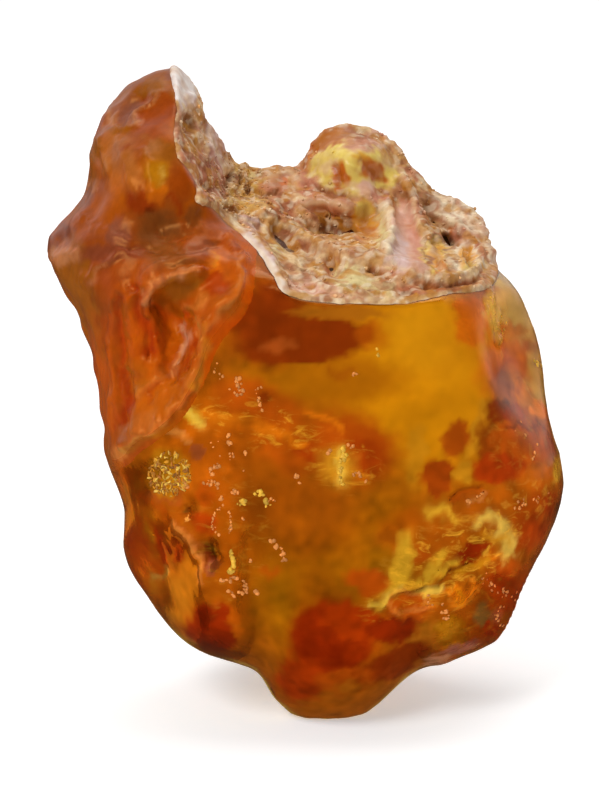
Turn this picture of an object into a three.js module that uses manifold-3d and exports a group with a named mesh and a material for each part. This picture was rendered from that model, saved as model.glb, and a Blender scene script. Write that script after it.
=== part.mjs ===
// A lump of raw amber that stands on a small flat spot: a rounded stone with a smooth front window,
// a tall fin at the left, ridged left flank, and a broken, crusted top that slopes back to a knob.
// Units are millimetres, +Z is up, and the front faces -Y. The origin is the middle of the flat
// spot. The stone is sculpted in a frame of its own, with x across the front window, z up along it
// and y into the stone, and then leaned back.

import * as THREE from "three";
import { mergeVertices } from "three/addons/utils/BufferGeometryUtils.js";
import { ImprovedNoise } from "three/addons/math/ImprovedNoise.js";
import Module from "manifold-3d";

const { smoothstep, lerp, degToRad } = THREE.MathUtils;

// Driving dimensions
const LEAN = degToRad(15); // the front window leans back by this much
const FRONT_DEPTH = 13; // from the stone's widest outline to its front window
const BACK_DEPTH = 15; // and to its back, at the foot end
const BACK_DEPTH_TOP = 9; // and to its back, at the top end
const FACE_FLATNESS = 3.6; // exponent of the front's section: a higher number is flatter
const BACK_FLATNESS = 3.0;
const HEART = new THREE.Vector2(-5.5, 28); // the outline is star-shaped seen from this point
const OUTLINE_HOLD = 5; // how fast the outline's bumps die away inside it: higher is faster
const FACE_CELLS = 25; // cells along each edge of the cube that is blown up into the stone
const BREAK_CELL = { across: 0.85, along: 0.6 }; // cell size of the broken top's surface

// The widest outline, seen square to the window, as [across, along] from the bottom round by the left
const OUTLINE = {
  foot: [[0.6, -0.8], [-2.4, -0.7], [-4.6, 0.5], [-5.6, 2.1], [-6.2, 3.5]],
  lowerLeft: [[-8.6, 4.5], [-12.4, 5.6], [-14.7, 7.8], [-16.8, 10.7], [-18.5, 13.5]],
  leftFlank: [[-18.9, 15.6], [-18.6, 18.2], [-19.6, 21.1], [-20.6, 23.4], [-20.4, 25.6],
    [-21.0, 28.8], [-21.5, 32.6], [-22.4, 35.2], [-24.3, 38.2]],
  spur: [[-25.5, 40.4], [-25.9, 42.6], [-24.5, 44.4], [-23.0, 46.2], [-22.0, 48.2]],
  fin: [[-21.5, 49.4], [-22.0, 50.8], [-21.2, 53.2], [-19.9, 55.6], [-17.9, 57.2],
    [-15.4, 58.5], [-13.5, 58.5], [-12.2, 56.5], [-11.7, 54.1], [-10.4, 51.9], [-9.0, 50.2]],
  backRim: [[-6.7, 49.8], [-4.0, 49.6], [-2.8, 49.3]],
  knob: [[-2.2, 50.8], [-1.3, 52.4], [0.2, 53.6], [2.3, 53.7], [4.6, 53.2], [6.1, 51.8]],
  ridge: [[7.3, 49.9], [10.0, 47.7], [12.4, 46.0], [14.0, 44.2], [15.0, 42.1], [15.4, 40.4]],
  rightShoulder: [[16.6, 39.4], [17.7, 37.8], [18.8, 35.6], [19.7, 33.0], [19.9, 30.2]],
  rightFlank: [[19.8, 27.8], [20.4, 25.3], [21.0, 23.0], [21.3, 20.6], [20.5, 17.4],
    [19.1, 14.3], [17.7, 11.0]],
  lowerRight: [[16.8, 8.2], [15.3, 6.5], [12.5, 5.2], [10.2, 4.3], [8.0, 4.0]],
  heel: [[6.4, 2.6], [4.8, 1.0], [3.0, -0.3]],
};

// Lines on the front, as [across, along]
const WINDOW_RIDGE = [[-8.9, 43.4], [-8.2, 38.8], [-10.8, 36.0], [-11.9, 33.6], [-12.5, 30.8],
  [-13.6, 28.4], [-16.2, 26.0], [-19.6, 24.2]];
const FLANK_ARCH = [[-11.8, 40.4], [-15.4, 39.4], [-17.0, 37.2]];
const FLANK_RIB = [[-17.0, 37.2], [-16.4, 33.4], [-17.6, 29.8], [-18.6, 26.6]];
const OUTER_RIB = [[-19.2, 41.2], [-19.4, 36.4], [-19.4, 31.6], [-19.6, 27.4]];
const LOWER_SCALLOP = [[-19.6, 21.4], [-16.6, 18.2], [-13.2, 16.0], [-11.4, 12.4], [-11.8, 8.6]];
const BEVEL_EDGE = [[1.6, 9.2], [6.4, 12.2], [11.8, 14.6], [17.6, 17.6], [21.4, 20.0]];
const SHOULDER_STEP = [[15.4, 39.4], [15.2, 36.4], [15.4, 33.2]];

// The edge between the smooth front and the broken top, from above the fin to past the right tip
const RIM = [[-14.2, 62.0], [-13.9, 58.2], [-13.7, 54.4], [-13.6, 50.8], [-12.4, 47.8],
  [-10.5, 45.2], [-8.3, 43.5], [-6.5, 41.4], [-5.2, 39.5], [-4.5, 37.9], [-2.9, 37.2],
  [0.2, 36.8], [5.1, 36.8], [8.3, 37.1], [11.2, 37.7], [14.2, 38.3], [15.4, 40.2],
  [16.6, 44.0], [18.6, 52.0]];

// Forms of the broken top
const BREAK_EASE = 0.85; // below 1, the break falls away faster behind the rim than further back
const BREAK_EDGE = 0.5; // the break ends this far in front of the widest outline
const TERRACE = [[-9.6, 45.9], [-6.3, 44.7], [-3.1, 43.3], [-0.5, 41.8], [2.8, 41.0], [5.4, 40.6],
  [7.6, 39.7], [10.7, 39.2], [13.4, 39.5]];
const UPPER_FOLD = [[-6.6, 45.8], [-4.6, 46.0], [-2.2, 46.5], [0.6, 46.6], [2.2, 45.4]];
const CRESCENT = [[3.6, 47.0], [5.1, 45.9], [5.6, 44.0], [5.0, 41.9]];
const RIGHT_FOLD = [[6.9, 47.6], [8.2, 44.6], [9.6, 42.0], [11.2, 40.4]];
const OUTER_RIDGE = [[7.4, 48.0], [9.8, 46.2], [12.2, 44.4], [13.8, 42.4], [14.4, 40.4]];

// Old shell-shaped chips, each struck out by a ball: its middle and its radius
const SCARS = {
  backRight: { at: [15, 31, 23], radius: 21 },
  backLeft: { at: [-19, 30, 18], radius: 20.5 },
  backMiddle: { at: [-9, 38, 39], radius: 27.5 },
  rightShoulder: { at: [31, -13, 36], radius: 18 },
  lowerRight: { at: [26, 4, 6], radius: 12 },
};
const SCAR_CELLS = 40; // cells round each ball

const grain = new ImprovedNoise();
const wasm = await Module();
wasm.setup();

/** Smooth noise from about -1 to 1 at a place, with lumps of the given size. */
function lumps(x, y, z, size) {
  return grain.noise(x / size + 7.3, y / size + 3.1, z / size + 11.7);
}

/** Two sizes of lumps together: the second is half as large and half as high. */
function rubble(x, y, z, size) {
  return lumps(x, y, z, size) + 0.5 * lumps(x + 31, y, z, size / 2);
}

/** A smooth path through [across, along] points, as a list of close points. */
function pathThrough(points, steps = 60) {
  const curve = new THREE.SplineCurve(points.map(([x, z]) => new THREE.Vector2(x, z)));
  return curve.getSpacedPoints(steps);
}

/** The distance from a place on the face to a path, positive on the path's left. */
function offset(path, x, z) {
  let best = Infinity;
  let side = 1;
  for (let i = 1; i < path.length; i++) {
    const a = path[i - 1];
    const along = path[i].clone().sub(a);
    const toPlace = new THREE.Vector2(x - a.x, z - a.y);
    const share = THREE.MathUtils.clamp(toPlace.dot(along) / along.lengthSq(), 0, 1);
    const away = toPlace.clone().addScaledVector(along, -share);
    const distance = away.length();
    if (distance < best) {
      best = distance;
      side = Math.sign(along.cross(toPlace)) || 1;
    }
  }
  return side * best;
}

/** A rounded crest that follows a path: 1 on it, and 0 past about twice its width. */
function crest(path, x, z, width) {
  const distance = offset(path, x, z);
  return Math.exp(-((distance / width) ** 2));
}

/** A rounded bump on an elliptical base: 1 in the middle and 0 outside about twice its radii. */
function bump(x, z, [cx, cz], [rx, rz]) {
  return Math.exp(-(((x - cx) / rx) ** 2) - ((z - cz) / rz) ** 2);
}

const outline = new THREE.CatmullRomCurve3(
  Object.values(OUTLINE).flat().map(([x, z]) => new THREE.Vector3(x, 0, z)), true, "centripetal");
outline.arcLengthDivisions = 1200;
const OUTLINE_PATH = outline.getSpacedPoints(360).map((p) => new THREE.Vector2(p.x, p.z));
const SMOOTH_PATH = ironed(OUTLINE_PATH);
const paths = Object.fromEntries(
  Object.entries({ WINDOW_RIDGE, FLANK_ARCH, FLANK_RIB, OUTER_RIB, LOWER_SCALLOP, BEVEL_EDGE,
    SHOULDER_STEP, RIM, TERRACE, UPPER_FOLD, CRESCENT, RIGHT_FOLD, OUTER_RIDGE,
  }).map(([name, points]) => [name, pathThrough(points)]));

/** The outline with its bumps ironed out: each point is the mean of those near it. */
function ironed(path, reach = 26) {
  const count = path.length - 1;
  return path.map((_, i) => {
    const sum = new THREE.Vector2();
    for (let k = -reach; k <= reach; k++) sum.add(path[(i + k + count) % count]);
    return sum.divideScalar(2 * reach + 1);
  });
}

/** How far a closed path lies from the heart along a direction. */
function reachOf(path, way) {
  let reach = 0;
  for (let i = 1; i < path.length; i++) {
    const a = path[i - 1].clone().sub(HEART);
    const edge = path[i].clone().sub(HEART).sub(a);
    const turn = way.cross(edge);
    if (Math.abs(turn) < 1e-9) continue;
    const t = a.cross(edge) / turn;
    const u = a.cross(way) / turn;
    if (t > 0 && u >= 0 && u <= 1) reach = Math.max(reach, t);
  }
  return reach;
}

/** How far from the heart a ring of the stone runs: the rings near the middle are the rounder. */
function ringReach(share, edge, smooth) {
  return share * lerp(smooth, edge, share ** OUTLINE_HOLD);
}

/** Which ring a place lies on: 0 at the heart and 1 on the outline or outside it. */
function spread(x, z) {
  const way = new THREE.Vector2(x, z).sub(HEART);
  const gone = way.length();
  if (gone < 1e-6) return 0;
  way.divideScalar(gone);
  const edge = reachOf(OUTLINE_PATH, way);
  const smooth = reachOf(SMOOTH_PATH, way);
  let low = 0;
  let high = 1;
  for (let i = 0; i < 24; i++) {
    const middle = (low + high) / 2;
    if (ringReach(middle, edge, smooth) < gone) low = middle;
    else high = middle;
  }
  return high;
}

/** How deep the widest outline lies: its top right runs further back than the rest. */
function seamDepth(x, z) {
  return 8 * smoothstep(z, 37, 47) * smoothstep(x, -12.5, -7.5);
}

/** What stands out from the front (negative) or is sunk into it (positive). */
function frontRelief(x, z) {
  const inWindow = smoothstep(offset(paths.WINDOW_RIDGE, x, z), -1, 3);
  const leftOfRidge = smoothstep(-offset(paths.WINDOW_RIDGE, x, z), 0.5, 3);
  let depth = 0;
  depth -= 1.5 * crest(paths.WINDOW_RIDGE, x, z, 1.8);
  depth -= 1.1 * crest(paths.FLANK_ARCH, x, z, 1.7);
  depth -= 1.0 * crest(paths.FLANK_RIB, x, z, 1.7);
  depth -= 0.7 * crest(paths.OUTER_RIB, x, z, 1.8);
  depth -= 0.9 * crest(paths.LOWER_SCALLOP, x, z, 1.8);
  depth -= 0.6 * crest(paths.BEVEL_EDGE, x, z, 2.0);
  depth += 0.5 * crest(paths.SHOULDER_STEP, x, z, 1.5);
  depth += 1.8 * bump(x, z, [-13.9, 34.4], [1.7, 3.6]); // hollow behind the window's ridge
  depth += 1.2 * bump(x, z, [-18.0, 32.6], [1.6, 4.6]); // flute between the ribs
  depth += 2.0 * bump(x, z, [-14.0, 43.8], [3.8, 2.2]); // hollow below the fin
  depth -= 1.0 * bump(x, z, [-22.4, 42.6], [2.8, 2.2]); // spur
  depth += 1.4 * bump(x, z, [-17.6, 54.6], [2.8, 2.4]); // scoop in the fin
  depth -= 1.0 * bump(x, z, [-16.6, 49.6], [1.8, 3.6]); // rib of the fin
  depth += 1.7 * bump(x, z, [-15.8, 13.6], [2.6, 2.8]); // scallop at the lower left
  depth -= 1.4 * bump(x, z, [-10.6, 7.4], [2.4, 2.0]); // small lobe at the lower left
  depth -= 1.2 * bump(x, z, [0.6, 4.4], [4.4, 3.4]); // bottom lobe
  depth -= 0.8 * bump(x, z, [11.4, 6.6], [2.6, 1.8]); // lower right lobe
  depth += 0.9 * bump(x, z, [-5.4, 4.6], [1.6, 3.2]); // valley between the bottom lobes
  depth += 1.0 * bump(x, z, [7.2, 6.0], [1.8, 2.6]);
  depth += 0.35 * (leftOfRidge + 0.3 * inWindow) * rubble(x, 0, z, 5.6);
  return depth;
}

/** How deep the front lies at a place on the face. */
function frontDepth(x, z, share = spread(x, z)) {
  const section = Math.sqrt(Math.max(1 - share ** FACE_FLATNESS, 0));
  const fade = Math.min(1, section * 2.2);
  return seamDepth(x, z) - FRONT_DEPTH * section + fade * frontRelief(x, z);
}

/** How deep the back lies: rounded, broken by shallow scoops, and full at the heel. */
function backDepth(x, z, share) {
  const section = Math.sqrt(Math.max(1 - share ** BACK_FLATNESS, 0));
  const full = lerp(BACK_DEPTH, BACK_DEPTH_TOP, smoothstep(z, 18, 50));
  let depth = full * section;
  depth += 6.5 * bump(x, z, [-2.8, 6.0], [10.5, 7.0]) * Math.min(1, section * 2); // heel
  depth -= 1.6 * bump(x, z, [-16, 44], [5.5, 5.0]); // hollow behind the spur
  depth += 0.9 * section * rubble(x, 9, z, 7.5);
  depth += 0.35 * section * rubble(x, 23, z, 3.0);
  return seamDepth(x, z) + depth;
}

/** How far inside the outline a place lies, and 0 outside it. */
function inset(x, z) {
  return Math.max(-offset(OUTLINE_PATH, x, z), 0);
}

/** How deep the broken top lies: it falls away behind the rim, with folds, a knob and pits. */
function breakDepth(x, z) {
  const fromRim = offset(paths.RIM, x, z);
  if (fromRim < 0) return frontDepth(x, z) + 2.5 * fromRim - 0.05;
  const toEdge = inset(x, z);
  const way = (fromRim / (fromRim + toEdge + 1e-6)) ** BREAK_EASE;
  const plain = lerp(frontDepth(x, z), seamDepth(x, z) - BREAK_EDGE, way);
  let relief = 0;
  relief -= 1.6 * crest(paths.TERRACE, x, z, 1.2);
  relief -= 1.7 * crest(paths.UPPER_FOLD, x, z, 1.1);
  relief -= 1.6 * crest(paths.CRESCENT, x, z, 1.0);
  relief -= 1.5 * crest(paths.RIGHT_FOLD, x, z, 1.1);
  relief -= 1.3 * crest(paths.OUTER_RIDGE, x, z, 1.2);
  relief += 1.3 * bump(x, z, [0.2, 44.2], [2.6, 1.1]); // groove
  relief += 0.9 * bump(x, z, [3.4, 44.6], [1.3, 1.5]); // clear eye in the crust
  relief += 2.0 * bump(x, z, [10.6, 42.8], [1.2, 1.1]); // dark pit
  relief += 1.1 * bump(x, z, [12.4, 41.6], [1.3, 1.6]); // hollow beside it
  relief -= 3.6 * bump(x, z, [2.2, 50.2], [3.6, 3.0]); // knob
  relief -= 2.0 * bump(x, z, [-5.0, 48.2], [2.6, 1.6]); // back rim
  relief += 0.7 * rubble(x, plain, z, 3.4);
  const fade = Math.min(1, fromRim / 1.6) * Math.min(1, toEdge / 1.6);
  const lip = 0.8 * crest(paths.RIM, x, z, 0.8) * bump(x, z, [-6.0, 40.6], [2.4, 3.0]);
  return plain + fade * relief - lip;
}

/** A geometry as a solid that can be cut and joined. */
function solidOf(geometry) {
  const bare = geometry.clone();
  bare.deleteAttribute("normal");
  bare.deleteAttribute("uv");
  const merged = mergeVertices(bare, 1e-4);
  return new wasm.Manifold(new wasm.Mesh({
    numProp: 3,
    vertProperties: merged.attributes.position.array,
    triVerts: new Uint32Array(merged.index.array),
  }));
}

/** A solid as a geometry with normals. */
function geometryOf(solid) {
  const mesh = solid.getMesh();
  const geometry = new THREE.BufferGeometry();
  geometry.setAttribute("position", new THREE.BufferAttribute(mesh.vertProperties, 3));
  geometry.setIndex(new THREE.BufferAttribute(mesh.triVerts, 1));
  geometry.computeVertexNormals();
  return geometry;
}

/** The whole stone before it broke: a cube blown up to fill the outline, front and back. */
function wholeStone() {
  const cube = new THREE.BoxGeometry(2, 2, 2, FACE_CELLS, FACE_CELLS, FACE_CELLS);
  const place = cube.attributes.position;
  const v = new THREE.Vector3();
  for (let i = 0; i < place.count; i++) {
    // Equal angles between the cube's cells keep them the same size on the ball
    v.fromBufferAttribute(place, i);
    v.set(Math.tan(v.x * Math.PI / 4), Math.tan(v.y * Math.PI / 4), Math.tan(v.z * Math.PI / 4));
    v.normalize();
    const share = Math.min(Math.hypot(v.x, v.z), 1);
    const turn = Math.atan2(-v.x, -v.z) / (2 * Math.PI); // from the bottom, round by the left
    const edge = outline.getPointAt(THREE.MathUtils.euclideanModulo(turn, 1));
    const way = new THREE.Vector2(edge.x, edge.z).sub(HEART);
    const far = way.length();
    way.divideScalar(far);
    const reach = ringReach(share, far, reachOf(SMOOTH_PATH, way));
    const x = HEART.x + way.x * reach;
    const z = HEART.y + way.y * reach;
    const onSeam = Math.abs(v.y) < 1e-6;
    const side = v.y < 0 ? frontDepth(x, z, share) : backDepth(x, z, share);
    place.setXYZ(i, x, onSeam ? seamDepth(x, z) : side, z);
  }
  return solidOf(cube);
}

/** What broke off the top: a block in front of the stone whose back is the broken surface. */
function brokenPiece() {
  const low = new THREE.Vector3(-17.5, -45, 34);
  const high = new THREE.Vector3(19.5, 0, 63);
  const size = high.clone().sub(low);
  const block = new THREE.BoxGeometry(size.x, size.y, size.z,
    Math.round(size.x / BREAK_CELL.across), 1, Math.round(size.z / BREAK_CELL.along));
  block.translate((low.x + high.x) / 2, (low.y + high.y) / 2, (low.z + high.z) / 2);
  const place = block.attributes.position;
  for (let i = 0; i < place.count; i++) {
    if (place.getY(i) > high.y - 1e-6) {
      place.setY(i, breakDepth(place.getX(i), place.getZ(i)));
    }
  }
  return solidOf(block);
}

/** The balls that struck the old chips out of the stone's sides. */
function scars() {
  return Object.values(SCARS).map(({ at, radius }) => {
    const ball = new THREE.SphereGeometry(radius, SCAR_CELLS, SCAR_CELLS / 2);
    ball.translate(...at);
    return solidOf(ball);
  });
}

/** The block below the flat spot that the stone rests on. */
function belowFoot() {
  const block = new THREE.BoxGeometry(90, 90, 30);
  block.translate(0, 0, -15);
  return solidOf(block);
}

/** The middle of the flat spot, on the ground. */
function footCentre(geometry) {
  const box = new THREE.Box3();
  const place = new THREE.Vector3();
  for (let i = 0; i < geometry.attributes.position.count; i++) {
    place.fromBufferAttribute(geometry.attributes.position, i);
    if (place.z < 1e-4) box.expandByPoint(place);
  }
  return box.getCenter(new THREE.Vector3());
}

/** The finished stone, leaned back, cut flat where it rests and centred on that spot. */
function amberStone() {
  const chips = [...scars(), brokenPiece()];
  const sculpted = geometryOf(chips.reduce((solid, chip) => solid.subtract(chip), wholeStone()));
  sculpted.rotateX(-LEAN);
  const cut = solidOf(sculpted).subtract(belowFoot());
  const pieces = cut.decompose().sort((a, b) => b.volume() - a.volume());
  const geometry = geometryOf(pieces[0]);
  const foot = footCentre(geometry);
  geometry.translate(-foot.x, -foot.y, 0);
  const mesh = new THREE.Mesh(geometry, new THREE.MeshStandardMaterial({
    color: 0xb5690c, roughness: 0.22, metalness: 0,
  }));
  mesh.name = "amber_stone";
  return mesh;
}

const stone = new THREE.Group();
stone.add(amberStone());

export default stone;
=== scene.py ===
"""A raw amber stone: a clear honey window, a folded waxy flank, a tall fin and a broken, crusted top.

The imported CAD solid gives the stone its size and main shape. This script gives it fine folds, the
colours in its resin, the crust on its broken top, and the bright flecks and grains in its skin.
"""

import logging
import math
from dataclasses import dataclass, field
from enum import Enum
from itertools import product

import bpy
import numpy as np
from mathutils import Matrix, Vector
from mathutils.bvhtree import BVHTree

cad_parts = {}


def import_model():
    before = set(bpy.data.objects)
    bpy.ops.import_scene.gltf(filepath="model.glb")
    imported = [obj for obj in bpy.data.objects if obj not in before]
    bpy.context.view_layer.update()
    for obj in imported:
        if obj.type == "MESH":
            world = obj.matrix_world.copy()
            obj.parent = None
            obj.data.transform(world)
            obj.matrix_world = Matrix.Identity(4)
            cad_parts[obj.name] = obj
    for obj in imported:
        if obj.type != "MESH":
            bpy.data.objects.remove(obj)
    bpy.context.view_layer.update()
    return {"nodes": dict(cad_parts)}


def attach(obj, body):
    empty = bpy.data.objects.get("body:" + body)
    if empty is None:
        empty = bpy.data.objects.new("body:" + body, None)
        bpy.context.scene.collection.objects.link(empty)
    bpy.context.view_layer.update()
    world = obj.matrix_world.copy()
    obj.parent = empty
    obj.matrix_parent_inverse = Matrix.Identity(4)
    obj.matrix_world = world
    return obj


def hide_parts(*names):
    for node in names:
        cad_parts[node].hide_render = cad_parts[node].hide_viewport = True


LOG = logging.getLogger("amber_stone")
MM = 0.001
NODE = "amber_stone"
Colour = tuple[float, float, float]
Pixel = tuple[float, float]


def linear(rgb: Colour) -> np.ndarray:
    """Turn a screen colour of 0 to 255 into linear light of 0 to 1."""
    share = np.asarray(rgb, dtype=float) / 255
    return np.where(share <= 0.04045, share / 12.92, ((share + 0.055) / 1.055) ** 2.4)


def smoothstep(low: float, high: float, value: np.ndarray) -> np.ndarray:
    """Rise smoothly from 0 at low to 1 at high."""
    share = np.clip((value - low) / (high - low), 0, 1)
    return share * share * (3 - 2 * share)


def lumps(points: np.ndarray, size: float, seed: int = 0) -> np.ndarray:
    """Measure smooth noise at places.

    Args:
        points: Places, in metres.
        size: Size of the lumps, in mm.
        seed: Picks the pattern.

    Returns:
        The noise at each place, from about -1 to 1.
    """
    slopes = np.random.default_rng(seed + 5).normal(size=(1024, 3))
    cell = points / (size * MM) + 0.37 * seed
    low = np.floor(cell).astype(np.int64)
    part = cell - low
    ease = part ** 3 * (part * (part * 6 - 15) + 10)
    total = np.zeros(len(points))
    for corner in product((0, 1), repeat=3):
        at = low + corner
        key = (at[:, 0] * 73856093 ^ at[:, 1] * 19349663 ^ at[:, 2] * 83492791) % 1024
        share = np.where(corner, ease, 1 - ease).prod(axis=1)
        total += share * (slopes[key] * (part - corner)).sum(axis=1)
    return total * 1.1


@dataclass(frozen=True)
class PhotoView:
    """How the photograph sees the stone, which leans back so that its window faces the camera.

    The stone's own frame has across and up in the plane of its widest outline, and depth behind it.
    """

    lean: float = math.radians(15)
    foot: tuple[float, float] = (-0.352, 6.427)  # the flat spot's middle, from the outline's foot, mm
    size: tuple[int, int] = (600, 800)
    pixels_per_mm: float = 11.0
    foot_pixel: Pixel = (330.0, 712.0)  # the outline's foot, its lowest point
    distance: float = 400.0  # from the camera to the plane of the outline, mm

    @property
    def aim(self) -> tuple[float, float]:
        """Find the place in the outline's plane at the middle of the picture.

        Returns:
            Its across and up, in mm.
        """
        across = (self.size[0] / 2 - self.foot_pixel[0]) / self.pixels_per_mm
        up = (self.foot_pixel[1] - self.size[1] / 2) / self.pixels_per_mm
        return across, up

    def to_stone(self, points: np.ndarray) -> np.ndarray:
        """Turn places in the room into places in the stone's own frame.

        Args:
            points: The places in the room, in metres.

        Returns:
            Across, up and depth of each, in mm.
        """
        x, y, z = (points / MM).T
        y = y + self.foot[1]
        up = z * math.cos(self.lean) + y * math.sin(self.lean)
        depth = y * math.cos(self.lean) - z * math.sin(self.lean)
        return np.stack([x + self.foot[0], up, depth], axis=1)

    def to_room(self, places: np.ndarray) -> np.ndarray:
        """Turn places in the stone's own frame into places in the room.

        Args:
            places: Across, up and depth of each, in mm.

        Returns:
            The places in the room, in metres.
        """
        across, up, depth = np.asarray(places, dtype=float).T
        y = depth * math.cos(self.lean) + up * math.sin(self.lean) - self.foot[1]
        z = up * math.cos(self.lean) - depth * math.sin(self.lean)
        return np.stack([across - self.foot[0], y, z], axis=1) * MM

    def to_pixels(self, points: np.ndarray) -> np.ndarray:
        """Turn places in the room into pixels of the photograph.

        Args:
            points: The places in the room, in metres.

        Returns:
            The pixel of each, right and down.
        """
        across, up, depth = self.to_stone(points).T
        near = self.distance / (self.distance + depth) * self.pixels_per_mm
        right = self.size[0] / 2 + (across - self.aim[0]) * near
        down = self.size[1] / 2 - (up - self.aim[1]) * near
        return np.stack([right, down], axis=1)

    def eye(self) -> Vector:
        """Return the camera's place in the room, in metres."""
        return Vector(self.to_room(np.array([[*self.aim, -self.distance]]))[0])

    def ray(self, pixel: Pixel) -> Vector:
        """Find the direction of the view through a pixel.

        Args:
            pixel: The pixel.

        Returns:
            The direction in the room, of length 1.
        """
        across = self.aim[0] + (pixel[0] - self.size[0] / 2) / self.pixels_per_mm
        up = self.aim[1] - (pixel[1] - self.size[1] / 2) / self.pixels_per_mm
        return (Vector(self.to_room(np.array([[across, up, 0.0]]))[0]) - self.eye()).normalized()


VIEW = PhotoView()


class Tone(Enum):
    """Colours of the resin and the crust as they look in daylight, as red, green, blue to 255."""

    AMBER = (158, 80, 8)
    HONEY = (202, 130, 8)
    LIGHT_HONEY = (206, 140, 14)
    DEEP_HONEY = (168, 98, 6)
    OLIVE = (150, 92, 6)
    BROWN = (150, 74, 6)
    GOLD = (190, 128, 20)
    YELLOW = (206, 158, 40)
    STRAW = (216, 176, 70)
    ORANGE = (204, 108, 14)
    DULL_ORANGE = (182, 88, 8)
    FLAME = (228, 120, 12)
    RUST = (170, 72, 8)
    RUBY = (158, 50, 5)
    DEEP_RUBY = (134, 36, 4)
    OXBLOOD = (126, 44, 4)
    BLACK_RED = (84, 22, 6)
    UMBER = (124, 74, 34)
    MOSS = (130, 108, 48)
    MAUVE = (150, 92, 76)
    PLUM = (132, 66, 46)
    SIENNA = (158, 74, 24)
    APRICOT = (206, 128, 56)
    PEACH = (206, 140, 92)
    OCHRE = (164, 96, 16)
    TAN = (199, 147, 102)
    SAND = (198, 150, 84)
    DARK_SAND = (160, 108, 44)
    CREAM = (222, 190, 142)
    PALE_LEMON = (214, 198, 140)
    PINK = (214, 170, 146)
    ROSE = (190, 124, 96)
    CLAY = (176, 102, 62)
    LILAC = (206, 180, 176)
    CHALK = (224, 214, 208)
    IVORY = (240, 228, 200)
    # the crust's own dark earth, and painted shade in its grooves and pits
    EARTH = (140, 84, 40)
    # painted shade in the crust's deepest pits
    HOLE = (74, 38, 14)
    EYE = (214, 150, 40)
    LEMON = (222, 196, 96)
    TOFFEE = (190, 98, 16)

    def oval(self, right: float, down: float, long: float, wide: float, *rest: float) -> "Mark":
        """Make an oval of this tone: its middle, its reach, and its turn, strength and softness."""
        return self, Oval((right, down), (long, wide), *rest)

    def line(self, width: float, strength: float, *path: Pixel) -> "Mark":
        """Make a line of this tone."""
        return self, Line(width, path, strength)


@dataclass(frozen=True)
class Oval:
    """A soft-edged oval, placed by the photograph's pixels."""

    at: Pixel
    reach: tuple[float, float]
    turn: float = 0.0  # degrees, clockwise in the picture
    strength: float = 1.0
    soft: float = 0.35

    def cover(self, pixels: np.ndarray) -> np.ndarray:
        """Measure how far pixels lie in the oval.

        Args:
            pixels: The pixels.

        Returns:
            A share for each, from 0 to strength.
        """
        angle = math.radians(self.turn)
        right, down = (pixels - np.asarray(self.at)).T
        along = (right * math.cos(angle) + down * math.sin(angle)) / self.reach[0]
        across = (down * math.cos(angle) - right * math.sin(angle)) / self.reach[1]
        return self.strength * (1 - smoothstep(1 - self.soft, 1 + self.soft, np.hypot(along, across)))


@dataclass(frozen=True)
class Line:
    """A soft line along a path of the photograph's pixels."""

    width: float
    path: tuple[Pixel, ...]
    strength: float = 1.0

    def cover(self, pixels: np.ndarray) -> np.ndarray:
        """Say how near each pixel is to the line, from 0 to strength."""
        return self.strength * nearness(self.path, self.width, pixels)


Mark = tuple[Tone, Oval | Line]


@dataclass(frozen=True)
class Noise:
    """Smooth noise of one size."""

    strength: float
    size: float  # mm
    seed: int

    def at(self, places: np.ndarray) -> np.ndarray:
        """Return the noise at places in the room, from about -strength to strength."""
        return self.strength * lumps(places, self.size, self.seed)


@dataclass(frozen=True)
class Cloud:
    """Blotches of one tone, where noise is above a start, and strongest where it is full."""

    tone: Tone
    strength: float
    start: float
    full: float
    noise: Noise

    def cover(self, places: np.ndarray) -> np.ndarray:
        """Say how much of the tone lies at each place, from 0 to strength."""
        return self.strength * smoothstep(self.start, self.full, self.noise.at(places))


@dataclass(frozen=True)
class Fold:
    """A rounded ridge, or a groove where its height is below 0, along a path of pixels."""

    height: float  # mm
    width: float  # pixels
    path: tuple[Pixel, ...]

    def rise(self, pixels: np.ndarray) -> np.ndarray:
        """Say how far each pixel's surface moves outwards, in mm."""
        return self.height * nearness(self.path, self.width, pixels)


def smooth_line(path: tuple[Pixel, ...], steps: int = 6) -> np.ndarray:
    """Draw a smooth line through a path.

    Args:
        path: Its points.
        steps: How many points the line has for each of the path's.

    Returns:
        The line's close points.
    """
    points = np.asarray([path[0], *path, path[-1]], dtype=float)
    line = []
    for i in range(1, len(points) - 2):
        before, start, end, after = points[i - 1:i + 3]
        for t in np.linspace(0, 1, steps, endpoint=False):
            line.append(0.5 * (2 * start + (end - before) * t
                               + (2 * before - 5 * start + 4 * end - after) * t * t
                               + (3 * start - before - 3 * end + after) * t ** 3))
    return np.array([*line, points[-2]])


def path_distance(line: np.ndarray, places: np.ndarray) -> tuple[np.ndarray, np.ndarray]:
    """Measure how far places are from a line, and on which side.

    Args:
        line: The line's points in a plane.
        places: The places in the same plane.

    Returns:
        The distances, and 1 where a place is left of the line or -1 where it is right, for a plane
        whose second axis points up.
    """
    best = np.full(len(places), np.inf)
    side = np.ones(len(places))
    for start, end in zip(line[:-1], line[1:]):
        along = end - start
        offset = places - start
        share = np.clip(offset @ along / max(along @ along, 1e-12), 0, 1)
        distance = np.linalg.norm(offset - share[:, None] * along, axis=1)
        closer = distance < best - 1e-9
        best = np.where(closer, distance, best)
        turn = along[0] * offset[:, 1] - along[1] * offset[:, 0]
        side = np.where(closer, np.where(turn >= 0, 1.0, -1.0), side)
    return best, side


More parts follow.
